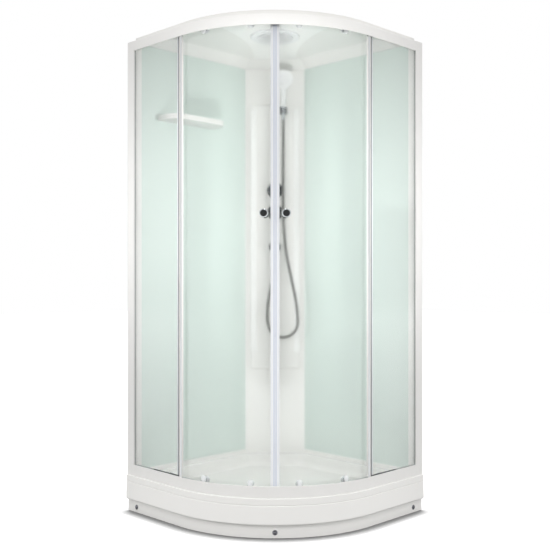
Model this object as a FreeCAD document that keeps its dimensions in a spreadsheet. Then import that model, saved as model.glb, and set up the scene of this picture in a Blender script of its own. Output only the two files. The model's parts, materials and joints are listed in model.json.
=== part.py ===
import FreeCAD, Part
import math
import os
import re
import Sketcher
from FreeCAD import Placement, Rotation, Vector

# Quadrant corner shower cabin with two curved sliding doors, in millimetres, +Z up.
# The back corner of the room lies at (-side/2, +side/2); the rounded front faces (+X, -Y).
# The origin is on the floor, at the middle of the square footprint.
# Right and left are as seen from in front of the doors.

SIZES = {
    # Footprint and levels
    "side": 900,
    "front_radius": 550,
    "tray_height": 155,
    "lower_rail_height": 46,
    "entry_height": 1759,
    "upper_rail_height": 42,
    # Tray
    "tray_wall": 5,
    "tray_lip_setback": 3,
    "tray_lip_drop": 28,
    "tray_rim_front": 70,
    "tray_rim_back": 50,
    "tray_corner_reach": 205,
    "basin_depth": 55,
    "basin_floor_fillet": 22,
    "basin_corner_fillet": 40,
    "basin_edge_fillet": 4,
    "lip_edge_fillet": 2.5,
    # Apron and kick panel
    "apron_wall": 4,
    "apron_foot": 51,
    "apron_lean": 2.5,
    "apron_top_round": 3,
    "apron_foot_round": 8,
    "apron_return": 14,
    "apron_joint": 3,
    "kick_setback": 12,
    "kick_wall": 3,
    "kick_floor_gap": 2,
    "kick_screw_height": 24,
    "kick_screw_from_wall": 59,
    "kick_screw_radius": 2.4,
    "kick_screw_hole_play": 0.4,
    "kick_washer_radius": 10,
    "kick_washer_height": 2,
    "kick_head_radius": 6,
    "kick_head_height": 3,
    "kick_strap_width": 30,
    "kick_strap_wall": 3,
    "kick_strap_foot": 10,
    # Steel frame and levelling feet
    "beam_width": 25,
    "beam_from_wall": 230,
    "beam_drain_gap": 52,
    "beam_end_gap": 30,
    "cross_beam_from_wall": 170,
    "cross_beam_drain_gap": 74.5,
    "foot_from_wall": 120,
    "foot_from_beam_end": 100,
    "stud_radius": 5,
    "nut_radius": 9,
    "nut_height": 8,
    "pad_radius": 24,
    "pad_height": 10,
    "pad_boss_radius": 9,
    "pad_boss_height": 6,
    "pad_edge": 3,
    # Drain
    "drain_reach": 205,
    "drain_hole_radius": 45,
    "trap_radius": 50,
    "trap_wall": 5,
    "trap_flange_radius": 58,
    "trap_flange_height": 6,
    "trap_foot": 16,
    "waste_radius": 20,
    "waste_wall": 3,
    "waste_axis_height": 42,
    "waste_from_wall": 50,
    "waste_nut_radius": 27,
    "waste_nut_reach": 75,
    "waste_relief_radius": 19,
    "waste_relief": 2,
    "grate_radius": 56,
    "grate_height": 3,
    "grate_spigot_radius": 43,
    "grate_spigot_wall": 2,
    "grate_spigot_depth": 9,
    "grate_slot_inner": 14,
    "grate_slot_outer": 36,
    "grate_slot_width": 6,
    "grate_slot_count": 12,
    # Rails and door tracks
    "rail_setback": 7,
    "rail_wall": 3,
    "rail_base": 4,
    "rail_depth": 60,
    "rail_edge": 1.5,
    "glass_rib_height": 18,
    "glass_rib_wall": 3,
    "glass_rib_gap": 1,
    "track_setback": 38,
    "track_wall": 2,
    "lower_track_height": 33,
    "upper_track_height": 17,
    "track_past_tangent": 14,
    # Posts
    "post_face": 45,
    "post_width": 56,
    "post_neck": 18,
    "post_flange": 28,
    "post_wall": 3,
    "post_edge": 1.5,
    "post_slot_depth": 12,
    "post_slot_play": 0.5,
    # Glass
    "glass_setback": 7.5,
    "glass_wall": 5,
    "glass_edge_gap": 5,
    "fixed_glass_reach": 9,
    "edge_profile_width": 15,
    "edge_profile_wall": 2,
    "gasket_width": 4,
    "gasket_height": 3,
    "panel_setback": 18,
    "panel_wall": 5,
    "panel_past_column": 25,
    # Doors
    "door_setback": 23.5,
    "door_wall": 5,
    "door_overlap": 26,
    "door_edge_from_roller": 15,
    "door_lead": 9,
    "magnet_gap": 0.15,
    "seal_width": 17,
    "seal_grip": 3,
    "seal_play": 0.1,
    "side_seal_hold": 10,
    "side_seal_lip": 3,
    "side_seal_reach": 6,
    "door_knob_height": 1242,
    "door_knob_from_middle": 42,
    "door_knob_radius": 17,
    "door_knob_neck_radius": 8,
    "door_knob_foot_radius": 10,
    "door_knob_foot": 4,
    "door_knob_neck": 8,
    "door_knob_head": 14,
    "door_knob_round": 4,
    "door_knob_bolt_radius": 4,
    "door_hole_play": 0.5,
    "face_gap": 0.3,
    # Rollers
    "roller_inner_angle": 10.45,
    "roller_outer_angle": 32.3,
    "wheel_radius": 12,
    "wheel_groove_radius": 9.5,
    "wheel_width": 8,
    "wheel_groove_width": 3.2,
    "wheel_groove_flare": 0.8,
    "wheel_side_gap": 0.4,
    "axle_radius": 4,
    "axle_play": 0.05,
    "axle_cap_radius": 12,
    "axle_cap_height": 4,
    "axle_collar_radius": 7,
    "axle_end_radius": 6,
    "axle_end_height": 2,
    # Corner column
    "column_edge": 225,
    "column_wall": 5,
    "pilaster_half_width": 118,
    "pilaster_rise": 14,
    "pilaster_below_recess": 80,
    "pilaster_above_holder": 40,
    "pilaster_fillet": 9,
    "recess_half_width": 86,
    "recess_depth": 2.5,
    "recess_below_outlet": 505,
    "recess_above_diverter": 173,
    "recess_fillet": 20,
    # Mixer behind the column
    "mixer_radius": 20,
    "mixer_depth": 145,
    "mixer_below_outlet": 45,
    "mixer_above_diverter": 53,
    "mixer_boss_radius": 15,
    "inlet_arm_rise": 28,
    "inlet_arm_radius": 12,
    "inlet_spread": 45,
    "inlet_radius": 10.475,
    "inlet_length": 30,
    "inlet_collar_radius": 14,
    "inlet_collar_drop": 18,
    "inlet_relief_radius": 9.5,
    "inlet_relief": 2,
    "feed_stub_radius": 9,
    "feed_stub_length": 20,
    "spindle_radius": 8,
    "spindle_play": 0.05,
    "spindle_reach": 31,
    "spindle_hole_play": 1,
    # Mixer knobs and their plates
    "mixer_knob_rise": 167,
    "diverter_rise": 105,
    "plate_radius": 38,
    "plate_height": 4,
    "knob_radius": 32,
    "knob_neck_radius": 22,
    "knob_gap": 0.4,
    "knob_neck": 8,
    "knob_head": 24,
    "knob_round": 5,
    "knob_bore_spare": 1,
    "knob_bar_half_width": 5,
    "knob_bar_height": 8,
    # Hose outlet, hose nuts and hose
    "outlet_height": 1145,
    "outlet_flange_radius": 20,
    "outlet_flange_height": 4,
    "outlet_radius": 13,
    "outlet_reach": 40,
    "outlet_tail_radius": 8,
    "outlet_down_radius": 10,
    "outlet_down_length": 27,
    "hose_nut_radius": 11,
    "hose_nut_height": 20,
    "hose_radius": 7,
    "hose_bore_radius": 4.5,
    "hose_end_run": 50,
    # Hand shower and holder
    "handset_offset": 40,
    "handset_depth": 246,
    "holder_below_rail": 170,
    "holder_length": 32,
    "holder_radius": 18,
    "holder_top_radius": 13.2,
    "holder_foot_radius": 11.7,
    "holder_slot_width": 17,
    "holder_arm_radius": 8,
    "holder_base_radius": 16,
    "holder_base_height": 6,
    "cone_play": 0.3,
    "cone_tail_radius": 8,
    "cone_tail_length": 29,
    "handle_foot_radius": 11.5,
    "handle_top_radius": 15,
    "handle_length": 112,
    "head_radius": 45,
    "head_wall": 18,
    "head_rim": 5,
    "head_lift": 128,
    "head_tilt": 12,
    "head_forward": 17,
    "spray_radius": 36,
    "spray_height": 3,
    # Roof, ceiling cover and overhead shower
    "roof_setback": 41,
    "roof_back_setback": 12,
    "roof_corner_reach": 168,
    "roof_skirt": 24,
    "roof_rise": 18,
    "roof_slope": 60,
    "roof_void_front": 67,
    "roof_void_back": 27,
    "roof_void_corner": 182,
    "roof_void_slope": 58,
    "roof_wall": 6,
    "cover_wall": 6,
    "cover_back": 248,
    "cover_back_half_width": 100,
    "cover_tail": 82,
    "cover_nose": 60,
    "cover_front_gap": 120,
    "cover_front_half_width": 215,
    "cover_side_radius": 790,
    "rose_from_cover_front": 175,
    "rose_radius": 105,
    "rose_height": 9,
    "rose_edge": 3,
    "rose_plate_radius": 78,
    "rose_plate_height": 4,
    "rose_stub_radius": 12,
    "rose_stub_rise": 24,
    "rose_hole_play": 1,
    "feed_radius": 7,
    "feed_bore_radius": 5,
    "feed_bend": 40,
    "feed_over_roof": 12,
    # Shelf on the left wall
    "shelf_below_rail": 274,
    "shelf_wall": 14,
    "shelf_near": 434,
    "shelf_far": 745,
    "shelf_depth": 115,
    "shelf_corner": 60,
    "shelf_lip": 4,
    "shelf_lip_rise": 8,
    "shelf_bolt_from_end": 80,
    "shelf_bolt_radius": 4,
    "shelf_bolt_head_radius": 9,
    "shelf_bolt_head_height": 4,
    # One overrun for every cut
    "overrun": 10,
}

# Route of the hanging hose between its two straight ends, from the outlet round the loop and up
# to the hand shower: (sideways, out from the back corner, height).
HOSE_LOOP = [
    (-16, 217, 968),
    (-33, 222, 880),
    (-39, 227, 800),
    (-22, 231, 738),
    (24, 235, 711),
    (74, 237, 720),
    (107, 239, 759),
    (109, 240, 812),
    (98, 241, 905),
    (74, 243, 1010),
    (52, 244, 1120),
    (41, 245, 1240),
    (38, 246, 1380),
    (39, 247, 1530),
]

doc = FreeCAD.newDocument("shower_cabin")
sheet = doc.addObject("Spreadsheet::Sheet", "sizes")
for row, (alias, number) in enumerate(SIZES.items(), 1):
    sheet.set(f"A{row}", alias)
    sheet.set(f"B{row}", str(number))
    sheet.setAlias(f"B{row}", alias)
doc.recompute()

# Sizes that follow from the sheet, written as formulas over its aliases.
FORMULAS = {
    "straight": "(side - front_radius)",
    "centre_x": "(side/2 - front_radius)",
    "centre_y": "(front_radius - side/2)",
    "rail_radius": "(front_radius - rail_setback)",
    "lower_rail_top": "(tray_height + lower_rail_height)",
    "upper_rail_foot": "(tray_height + lower_rail_height + entry_height)",
    "frame_top": "(tray_height + lower_rail_height + entry_height + upper_rail_height)",
    "basin_floor": "(tray_height - basin_depth)",
    "basin_under": "(tray_height - basin_depth - tray_wall)",
    "beam_foot": "(basin_under - beam_width)",
    "cross_foot": "(basin_under - 2*beam_width)",
    "glass_outer": "(rail_radius - glass_setback)",
    "glass_inner": "(rail_radius - glass_setback - glass_wall)",
    "panel_inner": "(panel_setback + panel_wall)",
    "door_outer": "(rail_radius - door_setback)",
    "door_inner": "(rail_radius - door_setback - door_wall)",
    "track_outer": "(rail_radius - track_setback)",
    "track_inner": "(rail_radius - track_setback - track_wall)",
    "track_middle": "(rail_radius - track_setback - track_wall/2)",
    "lower_track_top": "(tray_height + rail_base + lower_track_height)",
    "upper_track_foot": "(frame_top - rail_base - upper_track_height)",
    "lower_roller_height": "(lower_track_top + wheel_groove_radius + face_gap)",
    "upper_roller_height": "(upper_track_foot - wheel_groove_radius - face_gap)",
    "door_foot": "(lower_roller_height - door_edge_from_roller)",
    "door_height": "(upper_roller_height - lower_roller_height + 2*door_edge_from_roller)",
    "column_face": "((column_edge + panel_inner)/sqrt(2))",
    "column_mitre": "(panel_inner*sqrt(2))",
    "pilaster_face": "(column_face + pilaster_rise)",
    "pilaster_back": "(pilaster_face - column_wall)",
    "recess_face": "(pilaster_face - recess_depth)",
    "mixer_knob_height": "(outlet_height + mixer_knob_rise)",
    "diverter_height": "(mixer_knob_height + diverter_rise)",
    "recess_foot": "(outlet_height - recess_below_outlet)",
    "recess_top": "(diverter_height + recess_above_diverter)",
    "holder_height": "(upper_rail_foot - holder_below_rail)",
    "shelf_height": "(upper_rail_foot - shelf_below_rail)",
    "pilaster_foot": "(recess_foot - pilaster_below_recess)",
    "pilaster_top": "(holder_height + pilaster_above_holder)",
    "mixer_foot": "(outlet_height - mixer_below_outlet)",
    "mixer_top": "(diverter_height + mixer_above_diverter)",
    "inlet_arm_height": "(mixer_foot + inlet_arm_rise)",
    "knob_seat": "(recess_face + plate_height + knob_gap)",
    "outlet_axis": "(recess_face + outlet_reach - outlet_radius)",
    "outlet_down_foot": "(outlet_height - outlet_down_length)",
    "cone_top": "(holder_height + holder_length/2)",
    "cone_foot": "(holder_height - holder_length/2)",
    "roof_eaves": "(frame_top + roof_skirt)",
    "roof_crown": "(roof_eaves + roof_rise)",
    "ceiling": "(roof_crown - roof_wall)",
    "cover_foot": "(ceiling - cover_wall)",
    "void_front": "(straight*sqrt(2) + front_radius - roof_void_front - roof_void_slope)",
    "cover_front": "(void_front - cover_front_gap)",
    "cover_waist": "(cover_front - cover_nose)",
    "cover_flare": "(cover_back + cover_tail)",
    "rose_depth": "(cover_front - rose_from_cover_front)",
    "feed_height": "(roof_crown + feed_over_roof)",
}
WORD = re.compile(r"[a-z][a-z_]*")
# Two places closer than this count as one.
NEAR = 1e-3


def formula(text):
    """The text as a FreeCAD expression: formulas written out, aliases led by the sheet's name."""

    def spelled(match):
        word = match.group(0)
        if word in FORMULAS:
            return formula(FORMULAS[word])
        if word in SIZES:
            return "sizes." + word
        return word

    return WORD.sub(spelled, text)


def value(text):
    """The number that a formula gives with the sheet as it is."""
    result = sheet.evalExpression(formula(text))
    return float(getattr(result, "Value", result))


def bind(item, **texts):
    """Binds properties to formulas; a double underscore in a name stands for a dot."""
    for name, text in texts.items():
        item.setExpression(name.replace("__", "."), formula(text))
    return item


def place(item, x="0", y="0", z="0", yaw="0"):
    """Places an item in plan and height, turned by yaw degrees about the vertical."""
    item.Placement = Placement(Vector(), Rotation(Vector(0, 0, 1), value(yaw)))
    bind(item, Placement__Base__x=x, Placement__Base__y=y, Placement__Base__z=z)
    if yaw != "0":
        bind(item, Placement__Rotation__Angle=yaw)
    return item


def on_arc_centre(item, z="0", yaw="0"):
    """Places an item on the upright axis of the rounded front."""
    return place(item, "centre_x", "centre_y", z, yaw)


def on_diagonal(item, z="0"):
    """Places an item at the back corner: its +X runs to the right, its -Y out along the diagonal."""
    return place(item, "-side/2", "side/2", z, "45")


def new_body(label):
    body = doc.addObject("PartDesign::Body", label)
    body.Label = label
    return body


def origin_plane(body, role):
    return next(item for item in body.Origin.OriginFeatures if item.Role == role)


def new_sketch(body, name, role="XY_Plane", offset="0"):
    """A sketch on one of its body's origin planes, moved along the plane's normal."""
    sketch = body.newObject("Sketcher::SketchObject", name)
    sketch.AttachmentSupport = [(origin_plane(body, role), "")]
    sketch.MapMode = "FlatFace"
    bind(sketch, AttachmentOffset__Base__z=offset)
    return sketch


def fix_point(sketch, index, end, x, y):
    """Ties one end of a sketch edge to formulas for its two coordinates."""
    for kind, text in (("DistanceX", x), ("DistanceY", y)):
        number = value(text)
        item = sketch.addConstraint(Sketcher.Constraint(kind, -1, 1, index, end, number))
        sketch.setExpression(f"Constraints[{item}]", formula(text))


def arc_edge(start, end, radius, turn):
    """An arc of less than a half circle; turn is +1 for anticlockwise and -1 for clockwise."""
    chord = end - start
    middle = (start + end) * 0.5
    rise = math.sqrt(max(radius**2 - (chord.Length / 2) ** 2, 0))
    left = Vector(-chord.y, chord.x, 0).normalize()
    centre = middle + left * (rise * turn)
    first, last = (start, end) if turn > 0 else (end, start)
    angles = [math.atan2(spot.y - centre.y, spot.x - centre.x) for spot in (first, last)]
    return Part.ArcOfCircle(Part.Circle(centre, Vector(0, 0, 1), radius), *angles)


def draw(sketch, corners, closed=True):
    """An outline of lines and arcs. A corner is (x, y), or (x, y, radius, turn) where an arc follows."""
    spots = [Vector(value(corner[0]), value(corner[1]), 0) for corner in corners]
    count = len(corners) if closed else len(corners) - 1
    ends = []
    for number in range(count):
        corner = corners[number]
        start = spots[number]
        end = spots[(number + 1) % len(corners)]
        if len(corner) == 2:
            index = sketch.addGeometry(Part.LineSegment(start, end))
            ends.append((index, 1, 2))
            continue
        index = sketch.addGeometry(arc_edge(start, end, value(corner[2]), corner[3]))
        ends.append((index, 1, 2) if corner[3] > 0 else (index, 2, 1))
        item = sketch.addConstraint(Sketcher.Constraint("Radius", index, value(corner[2])))
        sketch.setExpression(f"Constraints[{item}]", formula(corner[2]))
    for number, (index, start, end) in enumerate(ends):
        fix_point(sketch, index, start, *corners[number][:2])
        following = ends[(number + 1) % len(ends)]
        if closed or number + 1 < len(ends):
            sketch.addConstraint(Sketcher.Constraint("Coincident", index, end, following[0], following[1]))
        else:
            fix_point(sketch, index, end, *corners[-1][:2])
    return sketch


def draw_circle(sketch, x, y, radius):
    """A circle whose centre and radius follow formulas."""
    circle = Part.Circle(Vector(value(x), value(y), 0), Vector(0, 0, 1), value(radius))
    index = sketch.addGeometry(circle)
    fix_point(sketch, index, 3, x, y)
    item = sketch.addConstraint(Sketcher.Constraint("Radius", index, value(radius)))
    sketch.setExpression(f"Constraints[{item}]", formula(radius))
    return sketch


def feature(body, kind, sketch, length, flip=False):
    """A Pad or Pocket of a sketch."""
    item = body.newObject("PartDesign::" + kind, body.Label + "_" + kind.lower())
    item.Profile = sketch
    item.Reversed = flip
    bind(item, Length=length)
    doc.recompute()
    return item


def pad(body, sketch, length, flip=False):
    return feature(body, "Pad", sketch, length, flip)


def pocket(body, sketch, length, flip=False):
    return feature(body, "Pocket", sketch, length, flip)


def revolve(body, sketch, axis):
    """A full turn of a sketch about one of its own axes."""
    item = body.newObject("PartDesign::Revolution", body.Label + "_turn")
    item.Profile = sketch
    item.ReferenceAxis = (sketch, [axis])
    item.Angle = 360
    doc.recompute()
    return item


def upright(label, corners):
    """A turned piece about its own Z axis; corners are (radius, height)."""
    body = new_body(label)
    revolve(body, draw(new_sketch(body, label + "_outline", "XZ_Plane"), corners), "V_Axis")
    return body


def level(label, corners):
    """A turned piece about its own X axis; corners are (place along X, radius)."""
    body = new_body(label)
    revolve(body, draw(new_sketch(body, label + "_outline"), corners), "H_Axis")
    return body


def facing(label, corners):
    """A turned piece about its own Y axis; corners are (radius, place along Y)."""
    body = new_body(label)
    revolve(body, draw(new_sketch(body, label + "_outline"), corners), "V_Axis")
    return body


def prism(label, corners, foot, height):
    """An upright extrusion of an outline in plan."""
    body = new_body(label)
    pad(body, draw(new_sketch(body, label + "_outline", offset=foot), corners), height)
    return body


def cylinder(name, radius, height):
    return bind(doc.addObject("Part::Cylinder", name), Radius=radius, Height=height)


def box(name, length, width, height):
    return bind(doc.addObject("Part::Box", name), Length=length, Width=width, Height=height)


def cut(label, base, tool):
    item = doc.addObject("Part::Cut", label)
    item.Label = label
    item.Base = base
    item.Tool = tool
    return item


def fuse(label, pieces):
    item = doc.addObject("Part::MultiFuse", label)
    item.Label = label
    item.Shapes = pieces
    return item


def group(label, pieces):
    item = doc.addObject("Part::Compound", label)
    item.Label = label
    item.Links = pieces
    return item


def mirrored(label, source):
    """The left-hand copy of a right-hand piece, across the upright plane of the diagonal."""
    item = doc.addObject("Part::Mirroring", label)
    item.Label = label
    item.Source = source
    item.Normal = Vector(1, 1, 0)
    return item


def both_sides(name, piece):
    """The right-hand piece under its own label, and its left-hand copy."""
    return [piece, mirrored("left_" + name, piece)]


def swept_along_front(label, setback, end_gap, corners):
    """A profile carried along the straight sides and round the front; corners start (inward, height)."""
    body = on_arc_centre(new_body(label))
    radius = f"(front_radius - ({setback}))"
    reach = f"(straight - ({end_gap}))"
    path = new_sketch(body, label + "_path")
    ends = [(radius, reach), (radius, "0", radius, -1), ("0", "-" + radius), ("-" + reach, "-" + radius)]
    draw(path, ends, closed=False)
    profile = new_sketch(body, label + "_profile", "XZ_Plane", "-" + reach)
    draw(profile, [(f"{radius} - ({inward})", *others) for inward, *others in corners])
    doc.recompute()
    pipe = body.newObject("PartDesign::AdditivePipe", label + "_pipe")
    pipe.Profile = profile
    pipe.Spine = (path, ["Edge1", "Edge2", "Edge3"])
    doc.recompute()
    return body


def quadrant(front, back, corner=None):
    """Plan outline about the arc centre, set back from the front, the walls and the back corner."""
    radius = f"(front_radius - ({front}))"
    wall = f"(straight - ({back}))"
    ends = [(radius, wall), (radius, "0", radius, -1), ("0", "-" + radius), ("-" + wall, "-" + radius)]
    if corner is None:
        return ends + [("-" + wall, wall)]
    cut_off = f"(({corner})*sqrt(2) - straight - ({back}))"
    return ends + [("-" + wall, "-" + cut_off), (cut_off, wall)]


def arc_angle(length, radius):
    """Degrees that an arc length takes at a radius."""
    return f"(({length})/({radius})*180/pi)"


def ring_sector(name, outer, inner, foot, height, start, span):
    """Part of an upright ring about the arc centre, from a start angle through a span."""
    solid = bind(cylinder(name + "_outer", outer, height), Angle=span)
    on_arc_centre(solid, foot, start)
    hollow = cylinder(name + "_inner", inner, f"({height}) + 2*overrun")
    on_arc_centre(hollow, f"({foot}) - overrun")
    return cut(name, solid, hollow)


def radial_hole(name, radius, angle, height, near, far):
    """A cylinder that points out from the arc centre, to cut a hole with."""
    tool = cylinder(name, radius, f"({far}) - ({near})")
    turn = Rotation(Vector(0, 0, 1), value(angle)).multiply(Rotation(Vector(0, 1, 0), 90))
    tool.Placement = Placement(Vector(), turn)
    reach = f"({near})"
    bind(
        tool,
        Placement__Base__x=f"centre_x + {reach}*cos({angle})",
        Placement__Base__y=f"centre_y + {reach}*sin({angle})",
        Placement__Base__z=height,
    )
    return tool


def pick_edges(item, wanted):
    """Names of an item's edges whose middle point passes a test."""
    names = []
    for number, edge in enumerate(item.Shape.Edges, 1):
        middle = edge.valueAt((edge.FirstParameter + edge.LastParameter) / 2)
        if wanted(edge, middle):
            names.append(f"Edge{number}")
    return names


def fillet(body, base, radius, wanted):
    """Rounds the edges of a body's last feature that pass a test."""
    item = body.newObject("PartDesign::Fillet", body.Label + "_fillet")
    item.Base = (base, pick_edges(base, wanted))
    bind(item, Radius=radius)
    doc.recompute()
    return item


def is_upright(edge):
    """Whether an edge is a straight upright line."""
    start, end = edge.Vertexes[0].Point, edge.Vertexes[-1].Point
    level_shift = math.hypot(end.x - start.x, end.y - start.y)
    return len(edge.Vertexes) == 2 and level_shift < NEAR


# Shower tray: rim with a turned-down lip, and a basin hung from it
def make_tray():
    body = on_arc_centre(new_body("tray"))
    lip_foot = "(tray_height - tray_lip_drop)"
    rim = draw(new_sketch(body, "tray_rim", offset=lip_foot), quadrant("tray_lip_setback", "0"))
    pad(body, rim, "tray_lip_drop")
    hollow = quadrant("tray_lip_setback + tray_wall", "tray_wall")
    under = draw(new_sketch(body, "tray_under_rim", offset=lip_foot), hollow)
    pocket(body, under, "tray_lip_drop - tray_wall", flip=True)
    inside = ("tray_rim_front", "tray_rim_back", "tray_corner_reach")
    shell = quadrant(*[f"{part} - tray_wall" for part in inside])
    bowl = draw(new_sketch(body, "tray_bowl", offset="basin_under"), shell)
    pad(body, bowl, "basin_depth")
    basin = draw(new_sketch(body, "tray_basin", offset="tray_height"), quadrant(*inside))
    last = pocket(body, basin, "basin_depth")
    rim_top = value("tray_height")
    lip_low = value(lip_foot)
    floor = value("basin_floor")
    reach_front = value("front_radius - tray_rim_front") + NEAR
    reach_back = value("straight - tray_rim_back") + NEAR
    front = value("front_radius - tray_lip_setback")

    def in_basin(point):
        behind_front = math.hypot(max(point.x, 0), min(point.y, 0)) < reach_front
        return behind_front and point.x > -reach_back and point.y < reach_back

    def basin_corner(edge, point):
        on_seam = min(abs(point.x), abs(point.y)) < NEAR
        return is_upright(edge) and floor < point.z < rim_top and in_basin(point) and not on_seam

    def basin_foot(edge, point):
        return abs(point.z - floor) < NEAR

    def basin_edge(edge, point):
        return abs(point.z - rim_top) < NEAR and in_basin(point)

    def lip_edge(edge, point):
        on_right = abs(point.x - front) < NEAR and point.y > 0
        on_left = abs(point.y + front) < NEAR and point.x < 0
        on_round = abs(math.hypot(point.x, point.y) - front) < NEAR
        on_lip = min(abs(point.z - rim_top), abs(point.z - lip_low)) < NEAR
        return on_lip and (on_right or on_left or on_round)

    last = fillet(body, last, "basin_corner_fillet", basin_corner)
    last = fillet(body, last, "basin_floor_fillet", basin_foot)
    last = fillet(body, last, "basin_edge_fillet", basin_edge)
    fillet(body, last, "lip_edge_fillet", lip_edge)
    drain = new_sketch(body, "tray_drain", offset="basin_floor + overrun")
    draw_circle(drain, "drain_reach/sqrt(2)", "-drain_reach/sqrt(2)", "drain_hole_radius")
    pocket(body, drain, "tray_wall + 2*overrun")
    return body


# Apron under the tray lip, with the set-back kick panel below it and its three screws
def make_front_panels():
    top = "(tray_height - tray_lip_drop)"
    apron = swept_along_front(
        "front_apron",
        "0",
        "0",
        [
            ("apron_lean + apron_top_round", top, "apron_top_round", -1),
            ("apron_lean", f"{top} - apron_top_round"),
            ("0", "apron_foot + apron_foot_round", "apron_foot_round", -1),
            ("apron_foot_round", "apron_foot"),
            ("apron_return", "apron_foot"),
            ("apron_return", "apron_foot + apron_joint"),
            ("apron_foot_round", "apron_foot + apron_joint"),
            ("apron_wall", "apron_foot + apron_foot_round"),
            ("apron_wall + apron_lean", top),
        ],
    )
    kick_back = "kick_setback + kick_wall"
    kick = swept_along_front(
        "kick_blank",
        "0",
        "0",
        [
            ("kick_setback", "kick_floor_gap"),
            ("kick_setback", "apron_foot"),
            (kick_back, "apron_foot"),
            (kick_back, "kick_floor_gap"),
        ],
    )
    face = "(front_radius - kick_setback)"
    shank = f"({face} - kick_wall - face_gap)"
    outline = [
        (shank, "0"),
        (shank, "kick_screw_radius"),
        (face, "kick_screw_radius"),
        (face, "kick_washer_radius"),
        (f"{face} + kick_washer_height", "kick_washer_radius"),
        (f"{face} + kick_washer_height", "kick_head_radius"),
        (f"{face} + kick_washer_height + kick_head_height", "kick_head_radius"),
        (f"{face} + kick_washer_height + kick_head_height", "0"),
    ]
    screw_shift = "(straight - kick_screw_from_wall)"
    middle = on_arc_centre(level("kick_screw_middle", outline), "kick_screw_height", "-45")
    right = level("kick_screw_right", outline)
    place(right, "centre_x", f"centre_y + {screw_shift}", "kick_screw_height")
    hole_radius = "kick_screw_radius + kick_screw_hole_play"
    near, far = f"{face} - kick_wall - overrun", f"{face} + overrun"
    middle_hole = radial_hole("kick_hole_middle", hole_radius, "-45", "kick_screw_height", near, far)
    right_hole = radial_hole("kick_hole_right", hole_radius, "0", "kick_screw_height", near, far)
    bind(right_hole, Placement__Base__y=f"centre_y + {screw_shift}")
    holes = group("kick_holes", [middle_hole, right_hole, mirrored("kick_hole_left", right_hole)])
    panel = cut("kick_panel", kick, holes)
    screws = group("kick_screws", [middle, right, mirrored("kick_screw_left", right)])
    strap_sizes = ("kick_strap_wall", "kick_strap_width", "tray_height - tray_wall - kick_strap_foot")
    strap = box("strap_middle", *strap_sizes)
    back = f"({face} - kick_wall - face_gap - kick_strap_wall)"
    strap.Placement = Placement(Vector(), Rotation(Vector(0, 0, 1), -45))
    bind(
        strap,
        Placement__Base__x=f"centre_x + ({back} - kick_strap_width/2)/sqrt(2)",
        Placement__Base__y=f"centre_y - ({back} + kick_strap_width/2)/sqrt(2)",
        Placement__Base__z="kick_strap_foot",
    )
    side_strap = box("strap_right", *strap_sizes)
    side_foot = f"centre_y + {screw_shift} - kick_strap_width/2"
    place(side_strap, f"centre_x + {back}", side_foot, "kick_strap_foot")
    straps = [strap, side_strap, mirrored("strap_left", side_strap)]
    return [apron, panel, screws], straps


# Steel frame under the basin, and four levelling feet
def make_frame(straps):
    def front_reach(across):
        """How far from the middle a beam that passes the arc centre at a distance may run."""
        return f"(sqrt((front_radius - beam_end_gap)^2 - ({across})^2) + centre_x)"

    beside_drain = "(drain_reach/sqrt(2) + trap_flange_radius"
    front_line = f"{beside_drain} + beam_drain_gap + beam_width)"
    right_line = f"{beside_drain} + cross_beam_drain_gap + beam_width/2)"
    back = box("beam_back", "side - 2*beam_end_gap", "beam_width", "beam_width")
    place(back, "beam_end_gap - side/2", "side/2 - beam_from_wall", "beam_foot")
    front_length = f"{front_reach(front_line)} + side/2 - beam_end_gap"
    front = box("beam_front", front_length, "beam_width", "beam_width")
    place(front, "beam_end_gap - side/2", f"centre_y - {front_line}", "beam_foot")
    left = box("cross_beam_left", "beam_width", "side - 2*beam_end_gap", "beam_width")
    place(left, "cross_beam_from_wall - side/2", "beam_end_gap - side/2", "cross_foot")
    right_reach = front_reach(right_line)
    right = box("cross_beam_right", "beam_width", f"{right_reach} + side/2 - beam_end_gap", "beam_width")
    place(right, f"centre_x + {right_line} - beam_width/2", f"-{right_reach}", "cross_foot")
    frame = group("support_frame", [back, front, left, right] + straps)
    left_line = "(cross_beam_from_wall - side/2 + beam_width/2)"
    spots = [
        (left_line, "side/2 - foot_from_wall"),
        (left_line, "foot_from_wall - side/2"),
        (f"centre_x + {right_line}", "side/2 - foot_from_wall"),
        (f"centre_x + {right_line}", f"foot_from_beam_end - {right_reach}"),
    ]
    boss_top = "(pad_height + pad_boss_height)"
    pads, studs, nuts = [], [], []
    for number, (x, y) in enumerate(spots, 1):
        rubber = [
            ("0", "0"),
            ("pad_radius", "0"),
            ("pad_radius", "pad_height - pad_edge"),
            ("pad_radius - pad_edge", "pad_height"),
            ("pad_boss_radius", "pad_height"),
            ("pad_boss_radius", boss_top),
            ("0", boss_top),
        ]
        pads.append(place(upright(f"foot_pad_{number}", rubber), x, y))
        rod = cylinder(f"foot_stud_{number}", "stud_radius", f"cross_foot - {boss_top}")
        studs.append(place(rod, x, y, boss_top))
        ring = [
            ("stud_radius", "0"),
            ("nut_radius", "0"),
            ("nut_radius", "nut_height"),
            ("stud_radius", "nut_height"),
        ]
        nuts.append(place(upright(f"foot_nut_{number}", ring), x, y, "cross_foot - nut_height"))
    return [frame, group("foot_pads", pads), group("foot_studs", studs), group("foot_nuts", nuts)]


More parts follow.
